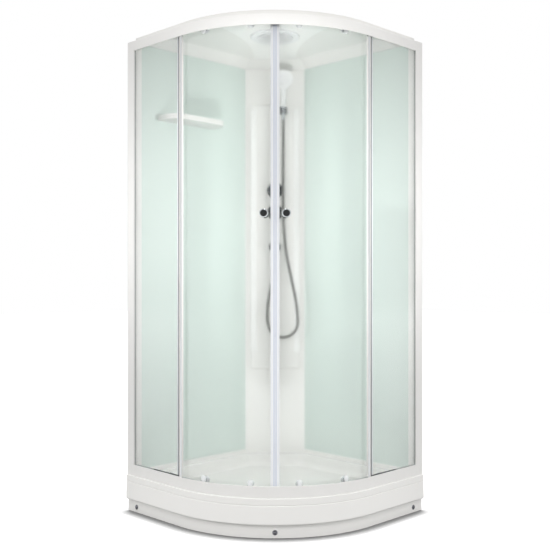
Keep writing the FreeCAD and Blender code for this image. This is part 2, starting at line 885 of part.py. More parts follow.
# Drain trap with its waste pipe to the right-hand wall, and the lift-out grate
def make_drain():
    x = "(centre_x + drain_reach/sqrt(2))"
    y = "(centre_y - drain_reach/sqrt(2))"
    inner = "(trap_radius - trap_wall)"
    trap = upright(
        "drain_trap",
        [
            ("0", "trap_foot"),
            ("trap_radius", "trap_foot"),
            ("trap_radius", "basin_under - trap_flange_height"),
            ("trap_flange_radius", "basin_under - trap_flange_height"),
            ("trap_flange_radius", "basin_under"),
            (inner, "basin_under"),
            (inner, "trap_foot + trap_wall"),
            ("0", "trap_foot + trap_wall"),
        ],
    )
    place(trap, x, y)
    pipe_length = f"(side/2 - waste_from_wall - {y})"
    nut_length = f"(waste_nut_reach - {inner} - trap_wall/2)"
    relief_end = "(waste_nut_reach + waste_relief)"
    waste_parts = [
        ("waste_nut", "waste_nut_radius", "waste_nut_reach", nut_length),
        ("waste_neck", "waste_relief_radius", relief_end, "waste_relief"),
        ("waste_pipe", "waste_radius", pipe_length, f"{pipe_length} - {relief_end}"),
    ]
    for name, radius, end, length in waste_parts:
        ring = new_sketch(trap, name, "XZ_Plane", f"-({end})")
        draw_circle(ring, "0", "waste_axis_height", radius)
        pad(trap, ring, length)
    bore = new_sketch(trap, "waste_bore", "XZ_Plane", f"-({pipe_length} + overrun)")
    draw_circle(bore, "0", "waste_axis_height", "waste_radius - waste_wall")
    pocket(trap, bore, f"{pipe_length} + overrun - {inner}/2", flip=True)
    spigot = "(grate_spigot_radius - grate_spigot_wall)"
    grate = upright(
        "drain_grate",
        [
            ("0", "0"),
            (spigot, "0"),
            (spigot, "-grate_spigot_depth"),
            ("grate_spigot_radius", "-grate_spigot_depth"),
            ("grate_spigot_radius", "0"),
            ("grate_radius", "0"),
            ("grate_radius", "grate_height/2"),
            ("grate_radius - grate_height/2", "grate_height"),
            ("0", "grate_height"),
        ],
    )
    place(grate, x, y, "basin_floor")
    slot = new_sketch(grate, "grate_slot", offset="grate_height + overrun")
    half = "(grate_slot_width/2)"
    draw(
        slot,
        [
            ("grate_slot_inner", "-" + half),
            ("grate_slot_outer", "-" + half),
            ("grate_slot_outer", half),
            ("grate_slot_inner", half),
        ],
    )
    first = pocket(grate, slot, "grate_height + 2*overrun")
    ring = grate.newObject("PartDesign::PolarPattern", "grate_slots")
    ring.Originals = [first]
    ring.Axis = (slot, ["N_Axis"])
    ring.Angle = 360
    bind(ring, Occurrences="grate_slot_count")
    grate.Tip = ring
    doc.recompute()
    return [trap, grate]


# Aluminium rails round the front, and the round tracks that the door wheels run on
def make_rails():
    rib = "(glass_setback + glass_wall + glass_rib_gap)"

    def rail(label, seat, height, way, turn):
        base = f"{seat} {way} rail_base"
        rib_top = f"{base} {way} glass_rib_height"
        corners = [
            ("rail_edge", seat, "rail_edge", turn),
            ("0", f"{seat} {way} rail_edge"),
            ("0", f"{seat} {way} ({height} - rail_edge)", "rail_edge", turn),
            ("rail_edge", f"{seat} {way} {height}"),
            ("rail_wall", f"{seat} {way} {height}"),
            ("rail_wall", base),
            (rib, base),
            (rib, rib_top),
            (f"{rib} + glass_rib_wall", rib_top),
            (f"{rib} + glass_rib_wall", base),
            ("rail_depth", base),
            ("rail_depth", seat),
        ]
        return swept_along_front(label, "rail_setback", "post_face", corners)

    lower = rail("lower_rail", "tray_height", "lower_rail_height", "+", 1)
    upper = rail("upper_rail", "frame_top", "upper_rail_height", "-", -1)
    start = "(-90 - track_past_tangent)"
    span = "(90 + 2*track_past_tangent)"

    def track(label, foot, height):
        return ring_sector(label, "track_outer", "track_inner", foot, height, start, span)

    low = track("lower_track", "tray_height + rail_base", "lower_track_height")
    high = track("upper_track", "upper_track_foot", "upper_track_height")
    return [lower, upper, low, high]


# Corner posts, fixed glass with its edge profile and gaskets, and the back wall panels
def make_sides():
    slot_outer = "(glass_outer + post_slot_play)"
    slot_inner = "(glass_inner - post_slot_play)"
    slot_end = "(straight - post_face + post_slot_depth)"
    panel_front = "(straight - panel_inner - post_slot_play)"
    panel_back = "(straight - panel_setback + post_slot_play)"
    post_back = "(rail_radius - post_width)"
    panel_seat = "(rail_radius - post_width + post_slot_depth)"
    near = "(straight - post_face)"
    frame_height = "frame_top - tray_height"
    post = prism(
        "right_post",
        [
            ("rail_radius - post_edge", "straight", "post_edge", -1),
            ("rail_radius", "straight - post_edge"),
            ("rail_radius", f"{near} + post_edge", "post_edge", -1),
            ("rail_radius - post_edge", near),
            (slot_outer, near),
            (slot_outer, slot_end),
            (slot_inner, slot_end),
            (slot_inner, near),
            ("rail_radius - post_neck", near),
            ("rail_radius - post_neck", "straight - post_flange"),
            (post_back, "straight - post_flange"),
            (post_back, panel_front),
            (panel_seat, panel_front),
            (panel_seat, panel_back),
            (post_back, panel_back),
            (post_back, "straight"),
        ],
        "tray_height",
        frame_height,
    )
    on_arc_centre(post)
    hollow = new_sketch(post, "post_hollow", offset="frame_top")
    draw(
        hollow,
        [
            (f"{panel_seat} + post_wall", f"{panel_back} - post_wall"),
            (f"{panel_seat} + post_wall", "straight - post_wall"),
            ("rail_radius - post_wall", "straight - post_wall"),
            ("rail_radius - post_wall", f"{panel_back} - post_wall"),
        ],
    )
    pocket(post, hollow, frame_height)
    glass_foot = "(tray_height + rail_base + glass_edge_gap)"
    glass_height = f"(frame_top - rail_base - glass_edge_gap - {glass_foot})"
    glass_end = f"({slot_end} - post_slot_play)"
    glass = prism(
        "right_fixed_glass",
        [
            ("glass_inner", "-fixed_glass_reach"),
            ("glass_outer", "-fixed_glass_reach"),
            ("glass_outer", glass_end),
            ("glass_inner", glass_end),
        ],
        glass_foot,
        glass_height,
    )
    on_arc_centre(glass)
    outer_face = "(glass_outer + edge_profile_wall)"
    inner_face = "(glass_inner - edge_profile_wall)"
    edge_near = "(-fixed_glass_reach - edge_profile_wall)"
    edge_far = f"({edge_near} + edge_profile_width)"
    profile = prism(
        "right_edge_profile",
        [
            (outer_face, edge_near),
            (outer_face, edge_far),
            ("glass_outer", edge_far),
            ("glass_outer", "-fixed_glass_reach"),
            ("glass_inner", "-fixed_glass_reach"),
            ("glass_inner", edge_far),
            (inner_face, edge_far),
            (inner_face, edge_near),
        ],
        "lower_rail_top",
        "entry_height",
    )
    on_arc_centre(profile)

    def strip(name, start, end):
        corners = [
            ("glass_outer", start),
            ("glass_outer", end),
            ("glass_outer + gasket_height", end),
            ("glass_outer + gasket_height", start),
        ]
        return on_arc_centre(prism(name, corners, "lower_rail_top", "entry_height"))

    gaskets = [
        strip("gasket_at_post", f"{near} - gasket_width", near),
        strip("gasket_at_edge", edge_far, f"{edge_far} + gasket_width"),
    ]
    gaskets += [mirrored("left_" + piece.Name, piece) for piece in gaskets]
    panel_near = "(column_edge - panel_past_column - straight)"
    panel_end = f"({panel_seat} - post_slot_play)"
    panel = prism(
        "right_wall_panel",
        [
            (panel_near, "straight - panel_setback"),
            (panel_end, "straight - panel_setback"),
            (panel_end, "straight - panel_inner"),
            (panel_near, "straight - panel_inner"),
        ],
        "tray_height",
        frame_height,
    )
    on_arc_centre(panel)
    pieces = both_sides("post", post) + both_sides("fixed_glass", glass)
    pieces += both_sides("edge_profile", profile) + [group("glazing_gaskets", gaskets), panel]
    return pieces, panel


# White shelf on the left-hand wall panel, bolted through the glass
def make_shelf(panel):
    wall_face = "(panel_inner - side/2)"
    near = "(side/2 - shelf_near)"
    far = "(side/2 - shelf_far)"
    front = f"({wall_face} + shelf_depth)"

    def outline(inset):
        left, right = f"{far} + {inset}", f"{near} - {inset}"
        turn = f"(shelf_corner - {inset})"
        return [
            (wall_face, right),
            (wall_face, left),
            (f"{front} - shelf_corner", left, turn, 1),
            (f"{front} - {inset}", f"{far} + shelf_corner"),
            (f"{front} - {inset}", f"{near} - shelf_corner", turn, 1),
            (f"{front} - shelf_corner", right),
        ]

    shelf = prism("shelf", outline("0"), "shelf_height", "shelf_wall + shelf_lip_rise")
    dish = new_sketch(shelf, "shelf_dish", offset="shelf_height + shelf_wall + shelf_lip_rise")
    draw(dish, outline("shelf_lip"))
    pocket(shelf, dish, "shelf_lip_rise")
    bolts, holes = [], []
    spots = [f"{near} - shelf_bolt_from_end", f"{far} + shelf_bolt_from_end"]
    height = "(shelf_height + shelf_wall/2)"
    back = "(panel_setback - side/2)"
    for number, spot in enumerate(spots, 1):
        outline_of_bolt = [
            ("-shelf_bolt_head_height", "0"),
            ("-shelf_bolt_head_height", "shelf_bolt_head_radius"),
            ("0", "shelf_bolt_head_radius"),
            ("0", "shelf_bolt_radius"),
            ("panel_wall", "shelf_bolt_radius"),
            ("panel_wall", "0"),
        ]
        bolts.append(place(level(f"shelf_bolt_{number}", outline_of_bolt), back, spot, height))
        hole_radius = "shelf_bolt_radius + door_hole_play"
        hole = cylinder(f"shelf_hole_{number}", hole_radius, "panel_wall + 2*overrun")
        hole.Placement = Placement(Vector(), Rotation(Vector(0, 1, 0), 90))
        bind(
            hole,
            Placement__Base__x=f"{back} - overrun",
            Placement__Base__y=spot,
            Placement__Base__z=height,
        )
        holes.append(hole)
    left_panel = cut("left_wall_panel", mirrored("left_panel_blank", panel), group("shelf_holes", holes))
    return [left_panel, shelf, group("shelf_bolts", bolts)]


# Corner column: a diagonal panel with a raised pilaster and a shallow recess
def make_column():
    back = "(column_face - column_wall)"
    body = prism(
        "column",
        [
            ("-(column_face - column_mitre)", "-column_face"),
            ("column_face - column_mitre", "-column_face"),
            (f"{back} - column_mitre", f"-{back}"),
            (f"-({back} - column_mitre)", f"-{back}"),
        ],
        "tray_height",
        "frame_top - tray_height",
    )
    on_diagonal(body)

    def panel(name, half, foot, top, depth):
        corners = [("-" + half, foot), (half, foot), (half, top), ("-" + half, top)]
        return draw(new_sketch(body, name, "XZ_Plane", depth), corners)

    face = panel("pilaster", "pilaster_half_width", "pilaster_foot", "pilaster_top", "column_face")
    last = pad(body, face, "pilaster_rise")
    front = -value("pilaster_face")
    plate = -value("column_face")

    def raised_edge(edge, point):
        return point.y < plate - NEAR

    last = fillet(body, last, "pilaster_fillet", raised_edge)
    inner = "(pilaster_half_width - column_wall)"
    inner_foot, inner_top = "pilaster_foot + column_wall", "pilaster_top - column_wall"
    hollow = panel("pilaster_hollow", inner, inner_foot, inner_top, back)
    pocket(body, hollow, f"pilaster_back - {back}", flip=True)
    dish = panel("recess", "recess_half_width", "recess_foot", "recess_top", "pilaster_face")
    last = pocket(body, dish, "recess_depth")
    floor = -value("recess_face")

    def recess_corner(edge, point):
        short = abs(edge.Length - value("recess_depth")) < NEAR
        return short and front < point.y < floor

    fillet(body, last, "recess_fillet", recess_corner)
    holes = new_sketch(body, "fitting_holes", "XZ_Plane", "pilaster_face + overrun")
    for height in ("diverter_height", "mixer_knob_height"):
        draw_circle(holes, "0", height, "spindle_radius + spindle_hole_play")
    draw_circle(holes, "0", "outlet_height", "outlet_tail_radius + spindle_hole_play")
    pocket(body, holes, "column_wall + 2*overrun")
    return body


# Mixer behind the column, with its inlets, spindles, cover plates and two knobs
def make_mixer():
    body = new_body("mixer_body")
    on_diagonal(body)
    core = new_sketch(body, "mixer_core", offset="mixer_foot")
    draw_circle(core, "0", "-mixer_depth", "mixer_radius")
    pad(body, core, "mixer_top - mixer_foot")
    bosses = new_sketch(body, "mixer_bosses", "XZ_Plane", "mixer_depth")
    for height in ("diverter_height", "mixer_knob_height", "outlet_height"):
        draw_circle(bosses, "0", height, "mixer_boss_radius")
    pad(body, bosses, "pilaster_back - mixer_depth")
    spindles = new_sketch(body, "mixer_spindles", "XZ_Plane", "mixer_depth")
    for height in ("diverter_height", "mixer_knob_height"):
        draw_circle(spindles, "0", height, "spindle_radius")
    pad(body, spindles, "recess_face + spindle_reach - mixer_depth")
    arm = new_sketch(body, "inlet_arm", "YZ_Plane", "-(inlet_spread + inlet_arm_radius)")
    draw_circle(arm, "-mixer_depth", "inlet_arm_height", "inlet_arm_radius")
    pad(body, arm, "2*(inlet_spread + inlet_arm_radius)")
    foot = "inlet_arm_height"
    inlet_parts = [
        ("inlet_collars", "inlet_collar_radius", "inlet_collar_drop"),
        ("inlet_reliefs", "inlet_relief_radius", "inlet_relief"),
        ("inlet_stubs", "inlet_radius", "inlet_length"),
    ]
    for name, radius, length in inlet_parts:
        foot = f"{foot} - {length}"
        rings = new_sketch(body, name, offset=foot)
        for side in ("-", ""):
            draw_circle(rings, f"{side}inlet_spread", "-mixer_depth", radius)
        pad(body, rings, length)
    feed = new_sketch(body, "feed_stub", offset="mixer_top")
    draw_circle(feed, "0", "-mixer_depth", "feed_stub_radius")
    pad(body, feed, "feed_stub_length")
    plates, knobs = [], []
    for name, height in (("diverter_knob", "diverter_height"), ("mixer_knob", "mixer_knob_height")):
        hole = "(spindle_radius + spindle_hole_play)"
        disc = [
            (hole, "-recess_face"),
            ("plate_radius", "-recess_face"),
            ("plate_radius - plate_height/2", "-recess_face - plate_height"),
            (hole, "-recess_face - plate_height"),
        ]
        plates.append(on_diagonal(facing(name + "_plate", disc), height))
        bore = "(spindle_radius + spindle_play)"
        bore_end = "(recess_face + spindle_reach + knob_bore_spare)"
        neck_end = "(knob_seat + knob_neck)"
        head_end = "(knob_seat + knob_neck + knob_head)"
        knob = facing(
            name,
            [
                (bore, "-knob_seat"),
                ("knob_neck_radius", "-knob_seat"),
                ("knob_neck_radius", f"-{neck_end}"),
                ("knob_radius - knob_round/2", f"-{neck_end}"),
                ("knob_radius", f"-{neck_end} - knob_round/2"),
                ("knob_radius", f"-{head_end} + knob_round", "knob_round", -1),
                ("knob_radius - knob_round", f"-{head_end}"),
                ("0", f"-{head_end}"),
                ("0", f"-{bore_end}"),
                (bore, f"-{bore_end}"),
            ],
        )
        on_diagonal(knob, height)
        bar = new_sketch(knob, name + "_bar", "XZ_Plane", head_end)
        half, reach = "knob_bar_half_width", "(knob_radius - knob_round)"
        draw(bar, [("-" + half, "-" + reach), (half, "-" + reach), (half, reach), ("-" + half, reach)])
        pad(knob, bar, "knob_bar_height")
        knobs.append(knob)
    return [body, group("mixer_plates", plates)] + knobs


# Hose outlet on the column, the nut on it, and the hose itself
def make_hose():
    outlet = facing(
        "hose_outlet",
        [
            ("0", "-pilaster_back"),
            ("outlet_tail_radius", "-pilaster_back"),
            ("outlet_tail_radius", "-recess_face"),
            ("outlet_flange_radius", "-recess_face"),
            ("outlet_flange_radius", "-recess_face - outlet_flange_height"),
            ("outlet_radius", "-recess_face - outlet_flange_height"),
            ("outlet_radius", "-recess_face - outlet_reach"),
            ("0", "-recess_face - outlet_reach"),
        ],
    )
    on_diagonal(outlet, "outlet_height")
    down = new_sketch(outlet, "outlet_down", offset="-outlet_down_length")
    draw_circle(down, "0", "-outlet_axis", "outlet_down_radius")
    pad(outlet, down, "outlet_down_length")
    nut = new_body("hose_nut")
    on_diagonal(nut)
    ring = new_sketch(nut, "nut_outline", offset="outlet_down_foot")
    draw_circle(ring, "0", "-outlet_axis", "hose_nut_radius")
    pad(nut, ring, "hose_nut_height", flip=True)
    hose = doc.addObject("Part::Feature", "hose")
    hose.Label = "hose"
    hose.Shape = hose_solid()
    hose.Placement = Placement(Vector(-value("side/2"), value("side/2"), 0), Rotation(Vector(0, 0, 1), 45))
    return [outlet, nut, hose]


def hose_solid():
    """A bored tube along straight runs joined by arcs as large as the runs allow."""
    start = Vector(0, -value("outlet_axis"), value("outlet_down_foot - hose_nut_height"))
    end_foot = value("cone_foot - cone_tail_length")
    end = Vector(value("handset_offset"), -value("handset_depth"), end_foot)
    run = Vector(0, 0, value("hose_end_run"))
    loop = [Vector(across, -out, up) for across, out, up in HOSE_LOOP]
    points = [start, start - run] + loop + [end - run, end]
    bend_share = 0.45
    edges, radii = [], []
    for before, here, after in zip(points, points[1:], points[2:]):
        way_in, way_out = (here - before).normalize(), (after - here).normalize()
        turn = way_in.getAngle(way_out)
        tangent = bend_share * min((here - before).Length, (after - here).Length)
        radius = tangent / math.tan(turn / 2)
        first, last = here - way_in * tangent, here + way_out * tangent
        middle_way = (way_out - way_in).normalize()
        middle = here + middle_way * (radius / math.cos(turn / 2) - radius)
        edges += [Part.LineSegment(start, first).toShape(), Part.Arc(first, middle, last).toShape()]
        radii.append(radius)
        start = last
    edges.append(Part.LineSegment(start, end).toShape())
    path = Part.Wire(edges)
    solids = []
    for radius in (value("hose_radius"), value("hose_bore_radius")):
        circle = Part.Wire(Part.Circle(points[0], Vector(0, 0, -1), radius).toShape())
        solids.append(path.makePipeShell([circle], True, False))
    tube = solids[0].cut(solids[1])
    print("hose length", round(path.Length), "smallest bend", round(min(radii)))
    return tube


# Hand shower in its holder, with the conical hose end that sits in the holder
def make_handset():
    body = new_body("handset_holder")
    on_diagonal(body)
    arm = new_sketch(body, "holder_arm", "XZ_Plane", "pilaster_face")
    draw_circle(arm, "handset_offset", "holder_height", "holder_base_radius")
    pad(body, arm, "holder_base_height")
    reach = new_sketch(body, "holder_reach", "XZ_Plane", "pilaster_face")
    draw_circle(reach, "handset_offset", "holder_height", "holder_arm_radius")
    pad(body, reach, "handset_depth - pilaster_face")
    sleeve = new_sketch(body, "holder_sleeve", offset="cone_foot")
    draw_circle(sleeve, "handset_offset", "-handset_depth", "holder_radius")
    pad(body, sleeve, "holder_length")
    socket = body.newObject("PartDesign::SubtractiveCone", "holder_socket")
    bind(socket, Radius1="holder_foot_radius", Radius2="holder_top_radius", Height="holder_length")
    bind(
        socket,
        Placement__Base__x="handset_offset",
        Placement__Base__y="-handset_depth",
        Placement__Base__z="cone_foot",
    )
    doc.recompute()
    mouth = new_sketch(body, "holder_mouth", offset="cone_top + overrun")
    half = "(holder_slot_width/2)"
    outside = "(handset_depth + holder_radius + overrun)"
    draw(
        mouth,
        [
            (f"handset_offset - {half}", "-handset_depth"),
            (f"handset_offset - {half}", f"-{outside}"),
            (f"handset_offset + {half}", f"-{outside}"),
            (f"handset_offset + {half}", "-handset_depth"),
        ],
    )
    pocket(body, mouth, "holder_length + 2*overrun")
    spot_x = "((handset_offset + handset_depth)/sqrt(2) - side/2)"
    spot_y = "((handset_offset - handset_depth)/sqrt(2) + side/2)"
    cone = upright(
        "hose_cone",
        [
            ("0", "cone_foot - cone_tail_length"),
            ("cone_tail_radius", "cone_foot - cone_tail_length"),
            ("cone_tail_radius", "cone_foot"),
            ("holder_foot_radius - cone_play", "cone_foot"),
            ("holder_top_radius - cone_play", "cone_top"),
            ("0", "cone_top"),
        ],
    )
    place(cone, spot_x, spot_y)
    handle = upright(
        "handset_handle",
        [
            ("0", "cone_top"),
            ("handle_foot_radius", "cone_top"),
            ("handle_top_radius", "cone_top + handle_length"),
            ("0", "cone_top + handle_length"),
        ],
    )
    place(handle, spot_x, spot_y)

    def faced(name, corners):
        piece = level(name, corners)
        turn = Rotation(Vector(0, 0, 1), -45).multiply(Rotation(Vector(0, 1, 0), value("head_tilt")))
        piece.Placement = Placement(Vector(), turn)
        bind(
            piece,
            Placement__Base__x=f"{spot_x} + head_forward/sqrt(2)",
            Placement__Base__y=f"{spot_y} - head_forward/sqrt(2)",
            Placement__Base__z="cone_top + head_lift",
        )
        return piece

    face = "(head_wall/2)"
    head = faced(
        "handset_head",
        [
            (f"-{face}", "0"),
            (f"-{face}", "head_radius - 2*head_rim"),
            (f"-{face} + head_rim", "head_radius - head_rim/2"),
            ("0", "head_radius"),
            (face, "head_radius - head_rim/2"),
            (face, "0"),
        ],
    )
    spray = faced(
        "handset_face",
        [
            (face, "0"),
            (face, "spray_radius"),
            (f"{face} + spray_height", "spray_radius - spray_height"),
            (f"{face} + spray_height", "0"),
        ],
    )
    return [body, cone, fuse("handset_body", [handle, head]), spray]


# Domed roof, the ceiling cover under it, and the overhead shower with its feed pipe
def make_roof():
    body = on_arc_centre(new_body("roof"))

    def level_outline(name, front, back, corner, height):
        return draw(new_sketch(body, name, offset=height), quadrant(front, back, corner))

    def loft(kind, name, sections):
        item = body.newObject("PartDesign::" + kind, name)
        item.Profile = sections[0]
        item.Sections = sections[1:]
        item.Ruled = True
        doc.recompute()
        return item

    eaves = ("roof_setback", "roof_back_setback", "roof_corner_reach")
    pad(body, level_outline("roof_foot", *eaves, "frame_top"), "roof_skirt")
    crown = [f"{part} + roof_slope" for part in eaves]
    lower = level_outline("roof_eaves_line", *eaves, "roof_eaves")
    upper = level_outline("roof_crown_line", *crown, "roof_crown")
    loft("AdditiveLoft", "roof_dome", [lower, upper])
    void = ("roof_void_front", "roof_void_back", "roof_void_corner")
    void_top = [f"{part} + roof_void_slope" for part in void]
    mouth = level_outline("roof_void_foot", *void, "frame_top")
    top = level_outline("roof_void_top", *void_top, "ceiling")
    loft("SubtractiveLoft", "roof_void", [mouth, top])
    reach = "(rose_depth - straight*sqrt(2))"
    hole = new_sketch(body, "roof_rose_hole", offset="roof_crown + overrun")
    draw_circle(hole, f"{reach}/sqrt(2)", f"-{reach}/sqrt(2)", "rose_stub_radius + rose_hole_play")
    pocket(body, hole, "roof_wall + 2*overrun")
    cover = prism(
        "ceiling_cover",
        [
            ("-cover_back_half_width", "-cover_back"),
            ("-cover_back_half_width", "-cover_flare", "cover_side_radius", -1),
            ("-cover_front_half_width", "-cover_waist"),
            ("-cover_front_half_width", "-cover_front"),
            ("cover_front_half_width", "-cover_front"),
            ("cover_front_half_width", "-cover_waist", "cover_side_radius", -1),
            ("cover_back_half_width", "-cover_flare"),
            ("cover_back_half_width", "-cover_back"),
        ],
        "cover_foot",
        "cover_wall",
    )
    on_diagonal(cover)
    passage = new_sketch(cover, "cover_rose_hole", offset="ceiling + overrun")
    draw_circle(passage, "0", "-rose_depth", "rose_stub_radius + rose_hole_play")
    pocket(cover, passage, "cover_wall + 2*overrun")
    x = "(rose_depth/sqrt(2) - side/2)"
    y = "(side/2 - rose_depth/sqrt(2))"
    stub_top = "(cover_wall + roof_wall + rose_stub_rise)"
    rose = upright(
        "overhead_shower",
        [
            ("0", "-rose_height"),
            ("rose_radius - rose_edge", "-rose_height"),
            ("rose_radius", "rose_edge - rose_height"),
            ("rose_radius", "0"),
            ("rose_stub_radius", "0"),
            ("rose_stub_radius", stub_top),
            ("0", stub_top),
        ],
    )
    place(rose, x, y, "cover_foot")
    plate = cylinder("overhead_spray_plate", "rose_plate_radius", "rose_plate_height")
    plate.Label = "overhead_spray_plate"
    place(plate, x, y, "cover_foot - rose_height - rose_plate_height")
    feed = doc.addObject("Part::Feature", "feed_pipe")
    feed.Label = "feed_pipe"
    feed.Shape = feed_solid()
    feed.Placement = Placement(Vector(-value("side/2"), value("side/2"), 0), Rotation(Vector(0, 0, 1), 45))
    return [body, cover, rose, plate, feed]


def feed_solid():
    """The bored pipe from the mixer up behind the column and over the roof to the overhead shower."""
    out, bend, height = -value("mixer_depth"), value("feed_bend"), value("feed_height")
    start = Vector(0, out, value("mixer_top + feed_stub_length"))
    rise = Vector(0, out, height - bend)
    centre = Vector(0, out - bend, height - bend)
    middle = centre + Vector(0, bend, bend) / math.sqrt(2)
    over = Vector(0, out - bend, height)
    end = Vector(0, -value("rose_depth - rose_stub_radius"), height)
    edges = [Part.LineSegment(start, rise), Part.Arc(rise, middle, over), Part.LineSegment(over, end)]
    path = Part.Wire([edge.toShape() for edge in edges])
    pipes = []
    for radius in (value("feed_radius"), value("feed_bore_radius")):
        circle = Part.Wire(Part.Circle(start, Vector(0, 0, 1), radius).toShape())
        pipes.append(path.makePipeShell([circle], True, False))
    return pipes[0].cut(pipes[1])


# Right-hand sliding door with its seals, knobs, axles and four wheels
def make_door():
    first = f"(-45 + {arc_angle('door_lead', 'door_outer')})"
    overlap = arc_angle("door_overlap", "door_outer")
    span = f"{overlap} - {first}"
    blank = ring_sector(
        "right_door_blank", "door_outer", "door_inner", "door_foot", "door_height", first, span
    )
    roller_angles = {"inner": "(roller_inner_angle - 45)", "outer": "(roller_outer_angle - 45)"}
    heights = {"lower": "lower_roller_height", "upper": "upper_roller_height"}
    knob_angle = f"({arc_angle('door_knob_from_middle', 'door_outer')} - 45)"
    near, far = "door_inner - overrun", "door_outer + overrun"
    bolt_hole = "door_knob_bolt_radius + door_hole_play"
    holes = [radial_hole("knob_hole", bolt_hole, knob_angle, "door_knob_height", near, far)]
    pieces, axles, wheels = [], [], []
    collar_end = "(track_middle + wheel_width/2 + wheel_side_gap)"
    wheel_end = "(track_middle - wheel_width/2 - wheel_side_gap)"
    cap_end = "(door_outer + axle_cap_height)"
    collar = "(door_inner - face_gap)"
    axle_outline = [
        (f"{wheel_end} - axle_end_height", "0"),
        (f"{wheel_end} - axle_end_height", "axle_end_radius"),
        (wheel_end, "axle_end_radius"),
        (wheel_end, "axle_radius"),
        (collar_end, "axle_radius"),
        (collar_end, "axle_collar_radius"),
        (collar, "axle_collar_radius"),
        (collar, "axle_radius"),
        ("door_outer", "axle_radius"),
        ("door_outer", "axle_cap_radius"),
        (cap_end, "axle_cap_radius"),
        (cap_end, "0"),
    ]
    groove = "wheel_groove_width/2"
    side = "wheel_width/2"
    wheel_outline = [
        (f"track_middle - {side}", "axle_radius + axle_play"),
        (f"track_middle - {side}", "wheel_radius"),
        (f"track_middle - {groove} - wheel_groove_flare", "wheel_radius"),
        (f"track_middle - {groove}", "wheel_groove_radius"),
        (f"track_middle + {groove}", "wheel_groove_radius"),
        (f"track_middle + {groove} + wheel_groove_flare", "wheel_radius"),
        (f"track_middle + {side}", "wheel_radius"),
        (f"track_middle + {side}", "axle_radius + axle_play"),
    ]
    for level_name, height in heights.items():
        for side_name, angle in roller_angles.items():
            name = f"{level_name}_{side_name}"
            hole = radial_hole(f"{name}_hole", "axle_radius + door_hole_play", angle, height, near, far)
            holes.append(hole)
            axles.append(on_arc_centre(level(f"{name}_axle", axle_outline), height, angle))
            wheel = on_arc_centre(level(f"right_wheel_{name}", wheel_outline), height, angle)
            wheels += both_sides(f"wheel_{name}", wheel)
    pieces += both_sides("door_glass", cut("right_door_glass", blank, group("door_holes", holes)))
    pieces += both_sides("door_axles", group("right_door_axles", axles))
    pieces += wheels

    def seal(label, outer, start, span, slot_start, slot_span):
        inner = "door_inner - seal_grip"
        strip = ring_sector(label + "_blank", outer, inner, "door_foot", "door_height", start, span)
        slot = ring_sector(
            label + "_slot",
            "door_outer + seal_play",
            "door_inner - seal_play",
            "door_foot - overrun",
            "door_height + 2*overrun",
            slot_start,
            slot_span,
        )
        return cut(label, strip, slot)

    gap = arc_angle("magnet_gap", "door_outer")
    width = arc_angle("seal_width - magnet_gap", "door_outer")
    play = arc_angle("seal_play", "door_outer")
    deep = arc_angle("seal_width", "door_outer")
    grip = "door_outer + seal_grip"
    magnet = seal("right_magnet_seal", grip, f"{gap} - 45", width, f"{first} - {play}", deep)
    hold = arc_angle("side_seal_hold", "door_outer")
    lip = arc_angle("side_seal_lip", "door_outer")
    side_seal = seal(
        "right_side_seal",
        "door_outer + side_seal_reach",
        f"{overlap} - {hold}",
        f"{hold} + {lip}",
        f"{overlap} - 2*{hold}",
        f"2*{hold} + {play}",
    )
    pieces += both_sides("magnet_seal", magnet) + both_sides("side_seal", side_seal)

    def knob(name, seat, way, bolt_end):
        foot = f"{seat} {way} door_knob_foot"
        neck = f"{foot} {way} door_knob_neck"
        head = f"{neck} {way} door_knob_head"
        back, turn = ("-", -1) if way == "+" else ("+", 1)
        corners = [
            (bolt_end, "0"),
            (bolt_end, "door_knob_bolt_radius"),
            (seat, "door_knob_bolt_radius"),
            (seat, "door_knob_foot_radius"),
            (foot, "door_knob_foot_radius"),
            (foot, "door_knob_neck_radius"),
            (neck, "door_knob_neck_radius"),
            (neck, "door_knob_radius"),
            (f"{head} {back} door_knob_round", "door_knob_radius", "door_knob_round", turn),
            (head, "door_knob_radius - door_knob_round"),
            (head, "0"),
        ]
        if bolt_end == seat:
            corners = [(seat, "0")] + corners[3:]
        return on_arc_centre(level(name, corners), "door_knob_height", knob_angle)

    inner_seat = "(door_inner - face_gap)"
    outer = knob("outer_door_knob", "door_outer", "+", inner_seat)
    inner = knob("inner_door_knob", inner_seat, "-", inner_seat)
    pieces += both_sides("door_knobs", group("right_door_knobs", [outer, inner]))
    return pieces


front_panels, straps = make_front_panels()
sides, wall_panel = make_sides()
subparts = [make_tray(), make_column()]
subparts += front_panels + make_frame(straps) + make_drain() + make_rails() + sides + make_shelf(wall_panel)
subparts += make_mixer() + make_hose() + make_handset() + make_roof() + make_door()
doc.recompute()

failed = [item.Label for item in doc.Objects if {"Invalid", "Error"} & set(item.State)]
for piece in subparts:
    if piece.Shape.isNull() or not piece.Shape.isValid() or not piece.Shape.Solids:
        failed.append(piece.Label)
if failed:
    raise RuntimeError("these objects failed: " + ", ".join(failed))
os.makedirs("parts", exist_ok=True)
for piece in subparts:
    piece.Shape.exportStep(f"parts/{piece.Label}.step")
print(len(subparts), "nodes,", sum(len(piece.Shape.Solids) for piece in subparts), "solids")
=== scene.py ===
import json
import math

import bpy
from mathutils import Matrix, Vector


